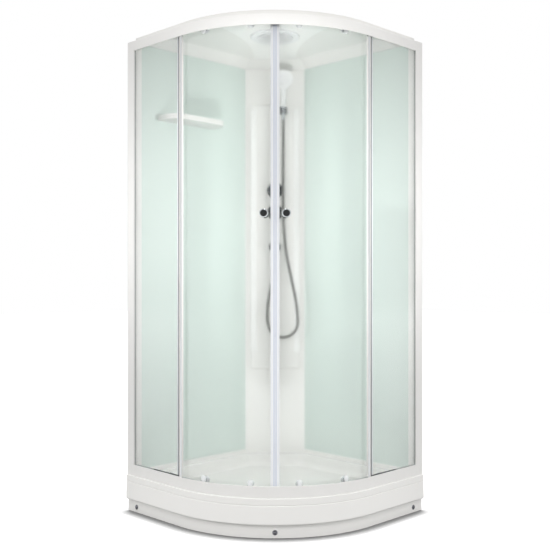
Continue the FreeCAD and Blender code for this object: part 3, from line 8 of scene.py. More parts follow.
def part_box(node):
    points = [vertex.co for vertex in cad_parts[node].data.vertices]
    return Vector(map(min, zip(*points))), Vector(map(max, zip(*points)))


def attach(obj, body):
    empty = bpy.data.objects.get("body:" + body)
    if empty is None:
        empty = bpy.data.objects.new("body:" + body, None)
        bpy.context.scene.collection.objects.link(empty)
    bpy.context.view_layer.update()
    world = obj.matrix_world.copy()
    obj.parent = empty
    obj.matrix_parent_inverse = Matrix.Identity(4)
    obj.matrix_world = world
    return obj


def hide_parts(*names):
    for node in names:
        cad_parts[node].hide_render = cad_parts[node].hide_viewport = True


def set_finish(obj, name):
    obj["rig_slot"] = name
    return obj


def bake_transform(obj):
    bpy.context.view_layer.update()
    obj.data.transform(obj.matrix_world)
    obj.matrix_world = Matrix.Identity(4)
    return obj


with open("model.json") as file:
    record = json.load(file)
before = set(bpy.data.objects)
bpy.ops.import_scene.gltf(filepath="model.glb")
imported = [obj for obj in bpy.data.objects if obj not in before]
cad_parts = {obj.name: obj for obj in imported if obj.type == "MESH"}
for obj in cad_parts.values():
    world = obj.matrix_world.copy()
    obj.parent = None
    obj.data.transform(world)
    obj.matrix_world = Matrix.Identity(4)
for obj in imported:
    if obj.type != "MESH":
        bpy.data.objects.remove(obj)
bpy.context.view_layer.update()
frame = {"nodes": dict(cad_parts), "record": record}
scene = bpy.context.scene
scene.view_settings.view_transform = "Standard"

MM = 0.001
QUARTER = math.pi / 2
ARC_CENTRE = Vector((-100, 100, 0)) * MM
BACK_CORNER = Vector((-450, 450, 0)) * MM
FRONT_MIDDLE = -45


# Camera: level, on the diagonal of the room corner
CAMERA_SPOT = (2.5607, -2.5607, 0.9847)
CAMERA_SENSOR = 36
CAMERA_LENS = 55.4
CAMERA_SHIFT = 0.01

bpy.ops.object.camera_add(location=CAMERA_SPOT, rotation=(QUARTER, 0, QUARTER / 2))
camera = bpy.context.object
camera.data.sensor_width = CAMERA_SENSOR
camera.data.lens = CAMERA_LENS
camera.data.shift_y = CAMERA_SHIFT
scene.camera = camera


def from_corner(across, out, height):
    """A point from millimetres sideways, out along the diagonal from the back corner, and up."""
    lean = math.sqrt(0.5) * MM
    return BACK_CORNER + Vector(((across + out) * lean, (across - out) * lean, height * MM))


def on_column(across, out, height):
    """Places what is modelled along +X on the corner column, facing out along the diagonal."""
    return Matrix.Translation(from_corner(across, out, height)) @ Matrix.Rotation(-QUARTER / 2, 4, "Z")


def about_front(angle, radius, height):
    """Places what is modelled along +X at the front curve: turned by degrees, then out and up in mm."""
    spot = Matrix.Translation((radius * MM, 0, height * MM))
    return Matrix.Translation(ARC_CENTRE) @ Matrix.Rotation(math.radians(angle), 4, "Z") @ spot


def both_sides(x, y, z):
    """Places what is modelled along +X on the right side, at x, y and z in mm, and its twin on the left."""
    right = Matrix.Translation(Vector((x, y, z)) * MM)
    left = Matrix.Translation(Vector((-y, -x, z)) * MM) @ Matrix.Rotation(-QUARTER, 4, "Z")
    return [right, left]


def start_shape(add, **settings):
    """A new primitive, alone in the selection, in edit mode."""
    bpy.ops.object.select_all(action="DESELECT")
    add(**settings)
    bpy.ops.object.mode_set(mode="EDIT")
    return bpy.context.object


def start_bar(thick, wide, tall):
    """A bar in edit mode, in millimetres: out along +X from 0, as wide to both sides in Y, up from 0."""
    bar = start_shape(bpy.ops.mesh.primitive_cube_add, size=1)
    size = Vector((thick, wide, tall)) * MM
    bpy.ops.transform.resize(value=size)
    bpy.ops.transform.translate(value=(size.x / 2, 0, size.z / 2))
    return bar


def start_disc(radius, corners, along=0):
    """A disc in edit mode that faces along +X, with its radius and its place on X in millimetres."""
    return start_shape(
        bpy.ops.mesh.primitive_circle_add,
        vertices=corners,
        radius=radius * MM,
        fill_type="NGON",
        location=(along * MM, 0, 0),
        rotation=(0, QUARTER, 0),
    )


def round_edges(bar, radius, runs, outer=False, upper=False):
    """Rounds a bar's edges that run along the named axes, all of them or the outer or upper ones, in mm."""
    bpy.ops.object.mode_set(mode="OBJECT")
    points = bar.data.vertices
    for items in (points, bar.data.edges, bar.data.polygons):
        items.foreach_set("select", [False] * len(items))
    reach = max(point.co.x for point in points)
    top = max(point.co.z for point in points)
    for edge in bar.data.edges:
        start, end = [points[number].co for number in edge.vertices]
        lengths = [abs(part) for part in end - start]
        wanted = "XYZ"[lengths.index(max(lengths))] in runs
        if outer:
            wanted = wanted and start.x + end.x > 1.5 * reach
        if upper:
            wanted = wanted and start.z + end.z > 1.5 * top
        edge.select = wanted
    bpy.ops.object.mode_set(mode="EDIT")
    bpy.ops.mesh.select_mode(type="EDGE")
    bpy.ops.mesh.bevel(offset=radius * MM, segments=6, affect="EDGES")


def push(*shift):
    """Extrudes what is selected along X, Y and Z, in millimetres."""
    bpy.ops.mesh.extrude_region_move(TRANSFORM_OT_translate={"value": Vector(shift) * MM})


def swell(*share):
    """Scales what is selected about the origin."""
    bpy.ops.transform.resize(value=share, center_override=(0, 0, 0))


def draw_out(steps):
    """Draws a round outline along +X in steps: millimetres on, then the share of its radius that it keeps."""
    for on, share in steps:
        push(on, 0, 0)
        swell(1, share, share)


def end_shape(shape, name, smooth=40):
    """Leaves edit mode with the shape named, its faces outwards and its soft edges smooth."""
    bpy.ops.mesh.select_all(action="SELECT")
    bpy.ops.mesh.normals_make_consistent(inside=False)
    bpy.ops.object.mode_set(mode="OBJECT")
    bpy.ops.object.transform_apply(location=True, rotation=True, scale=True)
    bpy.ops.object.shade_smooth_by_angle(angle=math.radians(smooth))
    shape.name = name


def put_modifier(shape, kind, **settings):
    """Adds one modifier and applies it."""
    bpy.ops.object.select_all(action="DESELECT")
    shape.select_set(True)
    bpy.context.view_layer.objects.active = shape
    item = shape.modifiers.new(kind.lower(), kind)
    for name, setting in settings.items():
        setattr(item, name, setting)
    bpy.ops.object.modifier_apply(modifier=item.name)


def discard(model):
    """Removes a model that has served its purpose."""
    bpy.data.objects.remove(model)


def set_out(model, name, places):
    """Copies a model to each place, each copy with its own mesh, and joins the copies into one piece."""
    copies = []
    for place in places:
        twin = model.copy()
        twin.data = model.data.copy()
        twin.data.transform(place)
        scene.collection.objects.link(twin)
        copies.append(twin)
    bpy.ops.object.select_all(action="DESELECT")
    for twin in copies:
        twin.select_set(True)
    bpy.context.view_layer.objects.active = copies[0]
    bpy.ops.object.join()
    copies[0].name = name
    return copies[0]


def fix_trim(trim, slot):
    """Makes a piece fixed trim of the cabin with a slot's finish."""
    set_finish(trim, slot)
    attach(trim, "cabin")
    return trim


# Shower hose: its route from the outlet round the loop to the hand shower, in millimetres
HOSE_ROUTE = [
    (0, 213.86, 1098),
    (0, 213.86, 1048),
    (-16, 217, 968),
    (-33, 222, 880),
    (-39, 227, 800),
    (-22, 231, 738),
    (24, 235, 711),
    (74, 237, 720),
    (107, 239, 759),
    (109, 240, 812),
    (98, 241, 905),
    (74, 243, 1010),
    (52, 244, 1120),
    (41, 245, 1240),
    (38, 246, 1380),
    (39, 247, 1530),
    (40, 246, 1695),
    (40, 246, 1745),
]
HOSE_RADIUS = 7
HOSE_GROOVE = 6.1
HOSE_RIB = 4.4
HOSE_WELD = 0.1


def hose_line():
    """The hose's middle line as one smooth spline."""
    line = bpy.data.curves.new("hose_line", "CURVE")
    line.dimensions = "3D"
    spline = line.splines.new("NURBS")
    spline.points.add(len(HOSE_ROUTE) - 1)
    for point, place in zip(spline.points, HOSE_ROUTE):
        point.co = (*from_corner(*place), 1)
    spline.order_u = 3
    spline.use_endpoint_u = True
    spline.resolution_u = 16
    item = bpy.data.objects.new("hose_line", line)
    scene.collection.objects.link(item)
    return item


def make_hose():
    """The wound metal strip as one rolled rib, repeated and carried along the line."""
    line = hose_line()
    path = [vertex.co.copy() for vertex in bpy.data.meshes.new_from_object(line).vertices]
    length = sum((end - start).length for start, end in zip(path, path[1:])) / MM
    count = round(length / HOSE_RIB)
    pitch = length / count
    grow = HOSE_RADIUS / HOSE_GROOVE
    hose = start_shape(
        bpy.ops.mesh.primitive_circle_add, vertices=16, radius=HOSE_GROOVE * MM, rotation=(0, QUARTER, 0)
    )
    draw_out([(pitch / 4, grow), (pitch / 2, 1), (pitch / 4, 1 / grow)])
    end_shape(hose, "shower_hose", smooth=60)
    put_modifier(hose, "ARRAY", count=count, use_merge_vertices=True, merge_threshold=HOSE_WELD * MM)
    put_modifier(hose, "CURVE", object=line, deform_axis="POS_X")
    bpy.ops.object.mode_set(mode="EDIT")
    bpy.ops.mesh.select_all(action="SELECT")
    bpy.ops.mesh.fill_holes(sides=0)
    end_shape(hose, "shower_hose", smooth=60)
    discard(line)
    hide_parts("hose")
    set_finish(hose, "hose_metal")
    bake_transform(hose)
    return hose


# Kick panel screws: a dished washer and a domed head with a deep socket
SCREW_RADIUS = 10
SCREW_WASHER = [(1.2, 1), (0.8, 0.9), (0, 0.72), (-0.5, 1)]
SCREW_HEAD = [(0, 0.93), (1.6, 1), (1.1, 0.86), (0.6, 0.86)]
SOCKET_RADIUS = 3.6
SOCKET_FLOOR = 0.6
SOCKET_DEPTH = 6
SCREW_HEIGHT = 24
KICK_RADIUS = 538
KICK_SIDE = (438, 391)


def make_kick_screws():
    screw = start_disc(SCREW_RADIUS, 32)
    draw_out(SCREW_WASHER + SCREW_HEAD)
    end_shape(screw, "kick_screw")
    cutter = start_disc(SOCKET_RADIUS, 6, SOCKET_FLOOR)
    push(SOCKET_DEPTH, 0, 0)
    end_shape(cutter, "socket_cutter")
    put_modifier(screw, "BOOLEAN", object=cutter, operation="DIFFERENCE", solver="EXACT")
    discard(cutter)
    places = [about_front(FRONT_MIDDLE, KICK_RADIUS, SCREW_HEIGHT)] + both_sides(*KICK_SIDE, SCREW_HEIGHT)
    screws = set_out(screw, "socket_head_screws", places)
    discard(screw)
    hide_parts("kick_screws")
    return fix_trim(screws, "steel")


# Domed housings on the outside ends of the roller axles, drawn out over the glass
ROLLER_ANGLES = {"right": (-34.55, -12.7), "left": (-55.45, -77.3)}
ROLLER_HEIGHTS = (201.8, 1971.2)
CAP_RADIUS = 11
CAP_STEPS = [(1.4, 1), (1.2, 0.93), (0.9, 0.78), (0, 0.5), (-0.8, 1)]
CAP_RISE = 4
CAP_STRETCH = 1.28
CAP_SEAT = 523.5


def make_roller_caps():
    cap = start_disc(CAP_RADIUS, 32)
    draw_out(CAP_STEPS)
    bpy.ops.mesh.select_all(action="SELECT")
    bpy.ops.transform.translate(value=(0, 0, CAP_RISE * MM))
    swell(1, 1, CAP_STRETCH)
    end_shape(cap, "roller_cap", smooth=60)
    flips = (Matrix.Identity(4), Matrix.Rotation(math.pi, 4, "X"))
    caps = []
    for side, angles in ROLLER_ANGLES.items():
        places = []
        for angle in angles:
            for height, flip in zip(ROLLER_HEIGHTS, flips):
                places.append(about_front(angle, CAP_SEAT, height) @ flip)
        piece = set_out(cap, side + "_roller_caps", places)
        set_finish(piece, "wheel_plastic")
        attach(piece, side + "_door")
        caps.append(piece)
    discard(cap)
    return caps


# Nozzles in rings on the two spray plates: (radius in mm, number of nozzles) for each ring
NOZZLE_RADIUS = 1.9
NOZZLE_STEPS = [(1.4, 0.7), (0, 0.55), (-0.8, 1)]
HAND_RINGS = [(0, 1), (8, 6), (15, 12), (22, 18), (29, 24)]
HAND_GRIP = (-247.77, 304.34, 1934)
HAND_REACH = 17
HAND_TILT = 12
HAND_FACE = 12
ROSE_RINGS = [(10, 6), (22, 12), (34, 18), (46, 24), (58, 30), (70, 36)]
ROSE_FACE = (-8.06, 8.06, 2019)


def nozzle_rings(rings):
    """Places in rings on a plane across +X."""
    places = []
    for radius, count in rings:
        for number in range(count):
            turn = Matrix.Rotation(2 * math.pi * number / count, 4, "X")
            places.append(turn @ Matrix.Translation((0, radius * MM, 0)))
    return places


def make_nozzles():
    nozzle = start_disc(NOZZLE_RADIUS, 10)
    draw_out(NOZZLE_STEPS)
    end_shape(nozzle, "nozzle")
    reach = HAND_REACH * math.sqrt(0.5)
    head = (Vector(HAND_GRIP) + Vector((reach, -reach, 0))) * MM
    turn = Matrix.Rotation(-QUARTER / 2, 4, "Z") @ Matrix.Rotation(math.radians(HAND_TILT), 4, "Y")
    hand_face = Matrix.Translation(head) @ turn @ Matrix.Translation((HAND_FACE * MM, 0, 0))
    rose_face = Matrix.Translation(Vector(ROSE_FACE) * MM) @ Matrix.Rotation(QUARTER, 4, "Y")
    faces = [
        ("hand_nozzles", "handset", hand_face, HAND_RINGS),
        ("rose_nozzles", "cabin", rose_face, ROSE_RINGS),
    ]
    pieces = []
    for name, body, face, rings in faces:
        piece = set_out(nozzle, name, [face @ place for place in nozzle_rings(rings)])
        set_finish(piece, "spray_plastic")
        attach(piece, body)
        pieces.append(piece)
    discard(nozzle)
    return pieces


# Lips that run up the outside of the two magnetic door seals, which meet on the diagonal
SEAL_RADIUS = 522.5
SEAL_TURN = (FRONT_MIDDLE + 180) / 360
SEAL_WEB = 3.8
SEAL_EDGE = 12.4
SEAL_FOOT = 201.5
SEAL_HEIGHT = 1758
LIP_RADIUS = 1.1
LIP_FLATTEN = 0.8


def make_seal_lips():
    lip = start_shape(
        bpy.ops.mesh.primitive_circle_add, vertices=8, radius=LIP_RADIUS * MM, fill_type="NGON"
    )
    push(0, 0, SEAL_HEIGHT)
    bpy.ops.mesh.select_all(action="SELECT")
    swell(LIP_FLATTEN, 1, 1)
    end_shape(lip, "seal_lip", smooth=60)
    lips = []
    for side, way in (("right", 1), ("left", -1)):
        angles = [FRONT_MIDDLE + way * math.degrees(along / SEAL_RADIUS) for along in (SEAL_WEB, SEAL_EDGE)]
        places = [about_front(angle, SEAL_RADIUS, SEAL_FOOT) for angle in angles]
        piece = set_out(lip, side + "_seal_lips", places)
        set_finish(piece, "seal")
        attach(piece, side + "_door")
        lips.append(piece)
    discard(lip)
    return lips


# Gloss beads down both edges of the column's pilaster, their highlights painted by a lighter acrylic: thick,
# wide and tall
BEAD_SIZE = (6, 29, 1168)
BEAD_ROUND = 5.6
BEAD_ACROSS = 103
BEAD_OUT = 189.36
BEAD_FOOT = 640


def make_pilaster_beads():
    bead = start_bar(*BEAD_SIZE)
    round_edges(bead, BEAD_ROUND, "YZ", outer=True)
    end_shape(bead, "pilaster_bead")
    places = [on_column(across, BEAD_OUT, BEAD_FOOT) for across in (-BEAD_ACROSS, BEAD_ACROSS)]
    beads = set_out(bead, "pilaster_beads", places)
    discard(bead)
    return fix_trim(beads, "acrylic")


# A thin sheet on the floor of the column's recess, laid there as painted shade: its slot is the greyer panel
# plastic, while here it is coated in the column's acrylic
INSERT_SIZE = (1, 170, 946)
INSERT_ROUND = 22
INSERT_SPOT = (0, 186.5, 642)


def make_recess_shade_sheet():
    insert = start_bar(*INSERT_SIZE)
    round_edges(insert, INSERT_ROUND, "X", upper=True)
    end_shape(insert, "recess_shade_sheet")
    insert.data.transform(on_column(*INSERT_SPOT))
    return fix_trim(insert, "panel_plastic")


# White strips that close the joint between the wall panels and the tray
FOOT_STRIP_SIZE = (4, 613, 18)
FOOT_STRIP_ROUND = 3.2
FOOT_STRIP_SPOT = (-427, -80.5, 155)


def make_foot_strips():
    strip = start_bar(*FOOT_STRIP_SIZE)
    round_edges(strip, FOOT_STRIP_ROUND, "Y", outer=True, upper=True)
    end_shape(strip, "foot_strip")
    strips = set_out(strip, "wall_foot_strips", both_sides(*FOOT_STRIP_SPOT))
    discard(strip)
    return fix_trim(strips, "acrylic")


# Bright strips let into the door side of the two edge profiles
EDGE_STRIP_SIZE = (0.8, 10, 1757)
EDGE_STRIP_ROUND = 0.5
EDGE_STRIP_SPOT = (437.5, 94.2, 202)


def make_edge_strips():
    strip = start_bar(*EDGE_STRIP_SIZE)
    round_edges(strip, EDGE_STRIP_ROUND, "Z", outer=True)
    end_shape(strip, "edge_strip")
    strips = set_out(strip, "edge_profile_strips", both_sides(*EDGE_STRIP_SPOT))
    discard(strip)
    return fix_trim(strips, "bare_aluminium")


# Grey strips that seal the feet of the fixed panes on the lower rail
GASKET_SIZE = (2, 293, 4)
GASKET_ROUND = 1.2
GASKET_MIDDLE = 254.5
GASKET_FOOT = 201


def make_sill_gaskets():
    strip = start_bar(*GASKET_SIZE)
    round_edges(strip, GASKET_ROUND, "Y", outer=True, upper=True)
    end_shape(strip, "sill_gasket")
    pane_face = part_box("right_fixed_glass")[1][0] / MM
    strips = set_out(strip, "sill_gaskets", both_sides(pane_face, GASKET_MIDDLE, GASKET_FOOT))
    discard(strip)
    return fix_trim(strips, "gasket")


# Dished rosette behind the hose outlet
ROSETTE_RADIUS = 27
ROSETTE_STEPS = [(1.2, 1), (1.6, 0.94), (1, 0.82)]
ROSETTE_SPOT = (0, 186.9, 1145)


def make_outlet_rosette():
    rosette = start_disc(ROSETTE_RADIUS, 48)
    draw_out(ROSETTE_STEPS)
    end_shape(rosette, "outlet_rosette", smooth=60)
    rosette.data.transform(on_column(*ROSETTE_SPOT))
    return fix_trim(rosette, "chrome")


hose = make_hose()
screws = make_kick_screws()
roller_caps = make_roller_caps()
nozzles = make_nozzles()
seal_lips = make_seal_lips()
trims = [
    make_pilaster_beads(),
    make_recess_shade_sheet(),
    make_foot_strips(),
    make_edge_strips(),
    make_sill_gaskets(),
    make_outlet_rosette(),
]


def linear(colour):
    """The linear RGBA of an sRGB hex colour."""
    parts = [int(colour[start : start + 2], 16) / 255 for start in (1, 3, 5)]
    return [part / 12.92 if part <= 0.04045 else ((part + 0.055) / 1.055) ** 2.4 for part in parts] + [1]


def per_metre(size):
    """The texture scale that gives a pattern of a size in millimetres."""
    return 1 / (size * MM)


# A Mix node's sockets while it mixes colours
MIX_SHARE = 0
MIX_A = 6
MIX_B = 7
MIX_COLOUR = 2


def add(tree, kind, inputs=(), **settings):
    """Adds one node with its settings; inputs pairs a socket with a number, a colour or a node's output."""
    node = tree.nodes.new("ShaderNode" + kind)
    for name, setting in settings.items():
        setattr(node, name, setting)
    for socket, source in dict(inputs).items():
        if isinstance(source, bpy.types.NodeSocket):
            tree.links.new(source, node.inputs[socket])
        else:
            node.inputs[socket].default_value = source
    return node


def new_finish(name, values):
    """A material with one Principled shader; values pairs its sockets with numbers or colours."""
    finish = bpy.data.materials.new(name)
    finish.use_nodes = True
    tree = finish.node_tree
    shader = tree.nodes["Principled BSDF"]
    for socket, number in values.items():
        shader.inputs[socket].default_value = number
    spot = add(tree, "TexCoord").outputs["Object"]
    return finish, tree, shader, spot


def vary(tree, shader, spot, size, colours=None, rough=None):
    """Drifts a shader between two hex colours and between two roughnesses, over a size in mm."""
    cloud = add(tree, "TexNoise", {"Vector": spot, "Scale": per_metre(size), "Detail": 3})
    if colours:
        low, high = [linear(colour) for colour in colours]
        inputs = {MIX_SHARE: cloud.outputs["Fac"], MIX_A: low, MIX_B: high}
        mix = add(tree, "Mix", inputs, data_type="RGBA")
        tree.links.new(mix.outputs[MIX_COLOUR], shader.inputs["Base Color"])
    if rough:
        inputs = {"Value": cloud.outputs["Fac"], "From Min": 0.3, "From Max": 0.7}
        inputs.update({"To Min": rough[0], "To Max": rough[1]})
        spread = add(tree, "MapRange", inputs)
        tree.links.new(spread.outputs["Result"], shader.inputs["Roughness"])


def ripple(tree, shader, spot, size, height, strength=1.0):
    """Gives a shader the bump of a grain of a size and height in mm."""
    grain = add(tree, "TexNoise", {"Vector": spot, "Scale": per_metre(size), "Detail": 2})
    inputs = {"Height": grain.outputs["Fac"], "Distance": height * MM, "Strength": strength}
    bump = add(tree, "Bump", inputs)
    tree.links.new(bump.outputs["Normal"], shader.inputs["Normal"])


# Cast acrylic sheet drawn over a mould: a clear gloss with a faint slow wave
acrylic, tree, shader, spot = new_finish("vacuum_formed_acrylic", {"IOR": 1.49})
vary(tree, shader, spot, 160, ("#F3F2EF", "#F6F5F2"), (0.14, 0.22))
ripple(tree, shader, spot, 22, 0.05, 0.3)

# The same sheet, glossier and painted lighter: painted light on the ceiling cover and painted highlights on
# the pilaster's beads
painted_light_acrylic, tree, shader, spot = new_finish("acrylic_with_painted_light", {"IOR": 1.49})
vary(tree, shader, spot, 120, ("#F9F9F7", "#FCFCFA"), (0.08, 0.14))

# The same sheet a shade greyer, which paints the shade on the roof around the ceiling cover; the shelf takes
# it too
painted_shade_acrylic, tree, shader, spot = new_finish("acrylic_with_painted_shade", {"IOR": 1.49})
vary(tree, shader, spot, 160, ("#EDECE9", "#F1F0ED"), (0.16, 0.24))
ripple(tree, shader, spot, 22, 0.05, 0.3)

# White polyester powder coat on extruded aluminium: half gloss, with orange peel drawn at 3 mm to show
powder_coat, tree, shader, spot = new_finish("powder_coated_aluminium", {"IOR": 1.5})
vary(tree, shader, spot, 90, ("#EBEAE7", "#F0EFED"), (0.28, 0.38))
ripple(tree, shader, spot, 3, 0.02, 0.25)

# Injection-moulded ABS: a shade greyer and duller than the acrylic, with the fine texture of the tool
moulded_abs, tree, shader, spot = new_finish("moulded_abs", {"IOR": 1.53})
vary(tree, shader, spot, 60, ("#EDECE9", "#F0EFEC"), (0.3, 0.4))
ripple(tree, shader, spot, 2.5, 0.02, 0.3)

# Mill-finish aluminium extrusion: grey, satin
mill_aluminium, tree, shader, spot = new_finish("mill_finish_aluminium", {"Metallic": 1})
vary(tree, shader, spot, 40, ("#C9CBCD", "#D3D5D6"), (0.3, 0.45))

# Tempered glass etched on both faces: things close behind it stay clear, things far behind it blur
etched_glass, tree, shader, spot = new_finish(
    "satin_etched_glass", {"Base Color": linear("#FDFEFE"), "IOR": 1.52, "Transmission Weight": 1}
)
vary(tree, shader, spot, 25, None, (0.07, 0.09))

# Float glass painted mint on its back: an even colour under a hard clear gloss
painted_glass, tree, shader, spot = new_finish("back_painted_glass", {"IOR": 1.52})
vary(tree, shader, spot, 400, ("#D5E2DC", "#D9E5DF"), (0.06, 0.1))

# Extruded EPDM: dull rubber in two tones by place, pale grey at the posts as painted light and graphite
# beside the doors as painted shade of the gap at the edge profiles
SIDEWAYS = (math.sqrt(0.5), math.sqrt(0.5), 0)
POST_REACH = 0.5
epdm_painted_light_and_shade, tree, shader, spot = new_finish("extruded_epdm_painted_light_and_shade", {"IOR": 1.5})
vary(tree, shader, spot, 30, None, (0.6, 0.75))
sideways = add(tree, "VectorMath", {0: spot, 1: SIDEWAYS}, operation="DOT_PRODUCT")
off_middle = add(tree, "Math", {0: sideways.outputs["Value"]}, operation="ABSOLUTE")
at_post = add(tree, "Math", {0: off_middle.outputs["Value"], 1: POST_REACH}, operation="GREATER_THAN")
# painted light and shade: pale grey at the posts, graphite beside the doors
painted_light_and_shade_greys = {MIX_SHARE: at_post.outputs["Value"], MIX_A: linear("#4A4B4D"), MIX_B: linear("#A6A7A6")}
shade = add(tree, "Mix", painted_light_and_shade_greys, data_type="RGBA")
tree.links.new(shade.outputs[MIX_COLOUR], shader.inputs["Base Color"])

# Extruded soft PVC: milky, and a web inside each seal shows as a thin blue line beside the joint
LINE_CORE = 0.6
LINE_EDGE = 1.6
milky_pvc, tree, shader, spot = new_finish("extruded_milky_pvc", {"IOR": 1.53, "Roughness": 0.25})
moved = add(tree, "Mapping", {"Vector": spot, "Location": -ARC_CENTRE})
sweep = add(tree, "TexGradient", {"Vector": moved.outputs["Vector"]}, gradient_type="RADIAL")
turn = add(tree, "Math", {0: sweep.outputs["Fac"], 1: SEAL_TURN}, operation="SUBTRACT")
along = add(tree, "Math", {0: turn.outputs["Value"], 1: 2 * math.pi * SEAL_RADIUS}, operation="MULTIPLY")
off_joint = add(tree, "Math", {0: along.outputs["Value"]}, operation="ABSOLUTE")
past_web = add(tree, "Math", {0: off_joint.outputs["Value"], 1: SEAL_WEB}, operation="SUBTRACT")
off_web = add(tree, "Math", {0: past_web.outputs["Value"]}, operation="ABSOLUTE")
fade = {"Value": off_web.outputs["Value"], "From Min": LINE_CORE, "From Max": LINE_EDGE}
band = add(tree, "MapRange", fade)
blues = {MIX_SHARE: band.outputs["Result"], MIX_A: linear("#AEBAD6"), MIX_B: linear("#F1F3F6")}
stripe = add(tree, "Mix", blues, data_type="RGBA")
tree.links.new(stripe.outputs[MIX_COLOUR], shader.inputs["Base Color"])

# Chromium plate over polished brass: a near mirror with a trace of wiping marks
chrome, tree, shader, spot = new_finish("chrome_plate", {"Metallic": 1, "Base Color": linear("#D4D6D9")})
vary(tree, shader, spot, 12, None, (0.05, 0.12))

# The same plate with a darker base colour, painted shade that stands in for dark reflections: the knobs and
# the holder
painted_shade_chrome, tree, shader, spot = new_finish(
    "chrome_plate_painted_dark", {"Metallic": 1, "Base Color": linear("#77787D")}
)
vary(tree, shader, spot, 12, None, (0.1, 0.18))

# Sand-cast brass: yellow metal with a grainy skin
cast_brass, tree, shader, spot = new_finish("sand_cast_brass", {"Metallic": 1})
vary(tree, shader, spot, 18, ("#B99A5B", "#C9AC70"), (0.35, 0.5))
ripple(tree, shader, spot, 2, 0.15, 0.5)

# Hot-dip galvanised steel: dull grey with a broad spangle
galvanised, tree, shader, spot = new_finish("galvanised_steel", {"Metallic": 1})
vary(tree, shader, spot, 14, ("#9FA3A6", "#BCC0C3"), (0.35, 0.55))

# Moulded black rubber: deep grey and dull
rubber, tree, shader, spot = new_finish("moulded_rubber", {"IOR": 1.5})
vary(tree, shader, spot, 20, ("#222324", "#2C2D2E"), (0.6, 0.8))

# Moulded polypropylene: milky white, waxy
polypropylene, tree, shader, spot = new_finish("moulded_polypropylene", {"IOR": 1.49})
vary(tree, shader, spot, 35, ("#E3E3E0", "#EAEAE8"), (0.4, 0.55))

# Wound steel strip, plated dull: soft grey ribs
wound_steel, tree, shader, spot = new_finish("wound_steel_strip", {"Metallic": 1})
vary(tree, shader, spot, 6, ("#8B8987", "#A09E9C"), (0.3, 0.42))

# Extruded polyethylene pipe: chalky grey
pipe_plastic, tree, shader, spot = new_finish("extruded_polyethylene", {"IOR": 1.51})
vary(tree, shader, spot, 35, ("#CFCFCB", "#D8D8D5"), (0.4, 0.55))

# Polished ABS mouldings of the showers: white with a sharp gloss, its white raised above the column's acrylic
# as painted light on the hand shower
white_abs_with_painted_light, tree, shader, spot = new_finish("polished_abs_with_painted_light", {"IOR": 1.53})
vary(tree, shader, spot, 50, ("#F9FAFA", "#FCFCFC"), (0.1, 0.18))

# Satin moulding of the spray plates and their nozzles
satin_abs, tree, shader, spot = new_finish("satin_pale_abs", {"IOR": 1.53})
vary(tree, shader, spot, 30, ("#D4D5D6", "#DBDBDC"), (0.3, 0.42))

# White moulding of the overhead shower
rose_abs, tree, shader, spot = new_finish("gloss_white_abs", {"IOR": 1.53})
vary(tree, shader, spot, 50, ("#F0F2F3", "#F4F5F6"), (0.14, 0.22))

# Acetal: white with a waxy half gloss
acetal, tree, shader, spot = new_finish("turned_acetal", {"IOR": 1.48})
vary(tree, shader, spot, 10, ("#EEF0F1", "#F4F6F7"), (0.25, 0.38))

FINISHES = {
    "acrylic": acrylic,
    "panel_plastic": moulded_abs,
    "white_aluminium": powder_coat,
    "bare_aluminium": mill_aluminium,
    "frosted_glass": etched_glass,
    "wall_glass": painted_glass,
    "gasket": epdm_painted_light_and_shade,
    "seal": milky_pvc,
    "chrome": chrome,
    "brass": cast_brass,
    "steel": galvanised,
    "foot_rubber": rubber,
    "trap_plastic": polypropylene,
    "hose_metal": wound_steel,
    "pipe_plastic": pipe_plastic,
    "handset_plastic": white_abs_with_painted_light,
    "spray_plastic": satin_abs,
    "rose_plastic": rose_abs,
    "wheel_plastic": acetal,
}
OWN_FINISHES = {
    # painted shade: the greyer acrylic on the roof and the shelf
    "roof": painted_shade_acrylic,
    # painted light: the lighter acrylic on the ceiling cover and the pilaster's beads
    "ceiling_cover": painted_light_acrylic,
    "pilaster_beads": painted_light_acrylic,
    "recess_shade_sheet": acrylic,
    "shelf": painted_shade_acrylic,
    # painted shade: the darkened chrome on the screws, the rosette, the outlet, the knobs, the plates and the
    # holder
    "socket_head_screws": painted_shade_chrome,
    # painted light: the hand shower's whiter ABS
    "handset_face": white_abs_with_painted_light,
    "outlet_rosette": painted_shade_chrome,
    "hose_outlet": painted_shade_chrome,
    "diverter_knob": painted_shade_chrome,
    "mixer_knob": painted_shade_chrome,
    "mixer_plates": painted_shade_chrome,
    "handset_holder": painted_shade_chrome,
}


def coat(piece, finish):
    """Gives a piece one finish all over."""
    if not piece.data.materials:
        piece.data.materials.append(finish)
    for slot in piece.material_slots:
        slot.material = finish


for subpart in frame["record"]["subparts"]:
    node = subpart["node"]
    coat(frame["nodes"][node], OWN_FINISHES.get(node, FINISHES[subpart["material_slot"]]))

# The panes cast no shadow, so that the lamps light what is behind them
for name in ("left_door_glass", "right_door_glass", "left_fixed_glass", "right_fixed_glass"):
    frame["nodes"][name].visible_shadow = False

for piece in [hose, screws] + roller_caps + nozzles + seal_lips + trims:
    coat(piece, OWN_FINISHES.get(piece.name, FINISHES[piece["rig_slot"]]))


# Studio, in metres: a white sweep of floor and sky, soft lamps in front, and a dark flag for the chrome
SKY_LEVEL = 1.04
FLOOR_LIFT = 0.95
FLOOR_WIDTH = 40
CONTACT_SHADOW = 0.07
DEEPEST_SHADOW = 0.55
FLAG_LEVEL = 0.04
FLAG_WIDTH = 5.0
FLAG_SPOT = (3.5, -3.5, 1.0)
SOFTBOX = (0.6, 0.6)
KICKER = (0.5, 0.5)
SPOT = (0.4, 0.4)
STRIP = (0.3, 1.6)


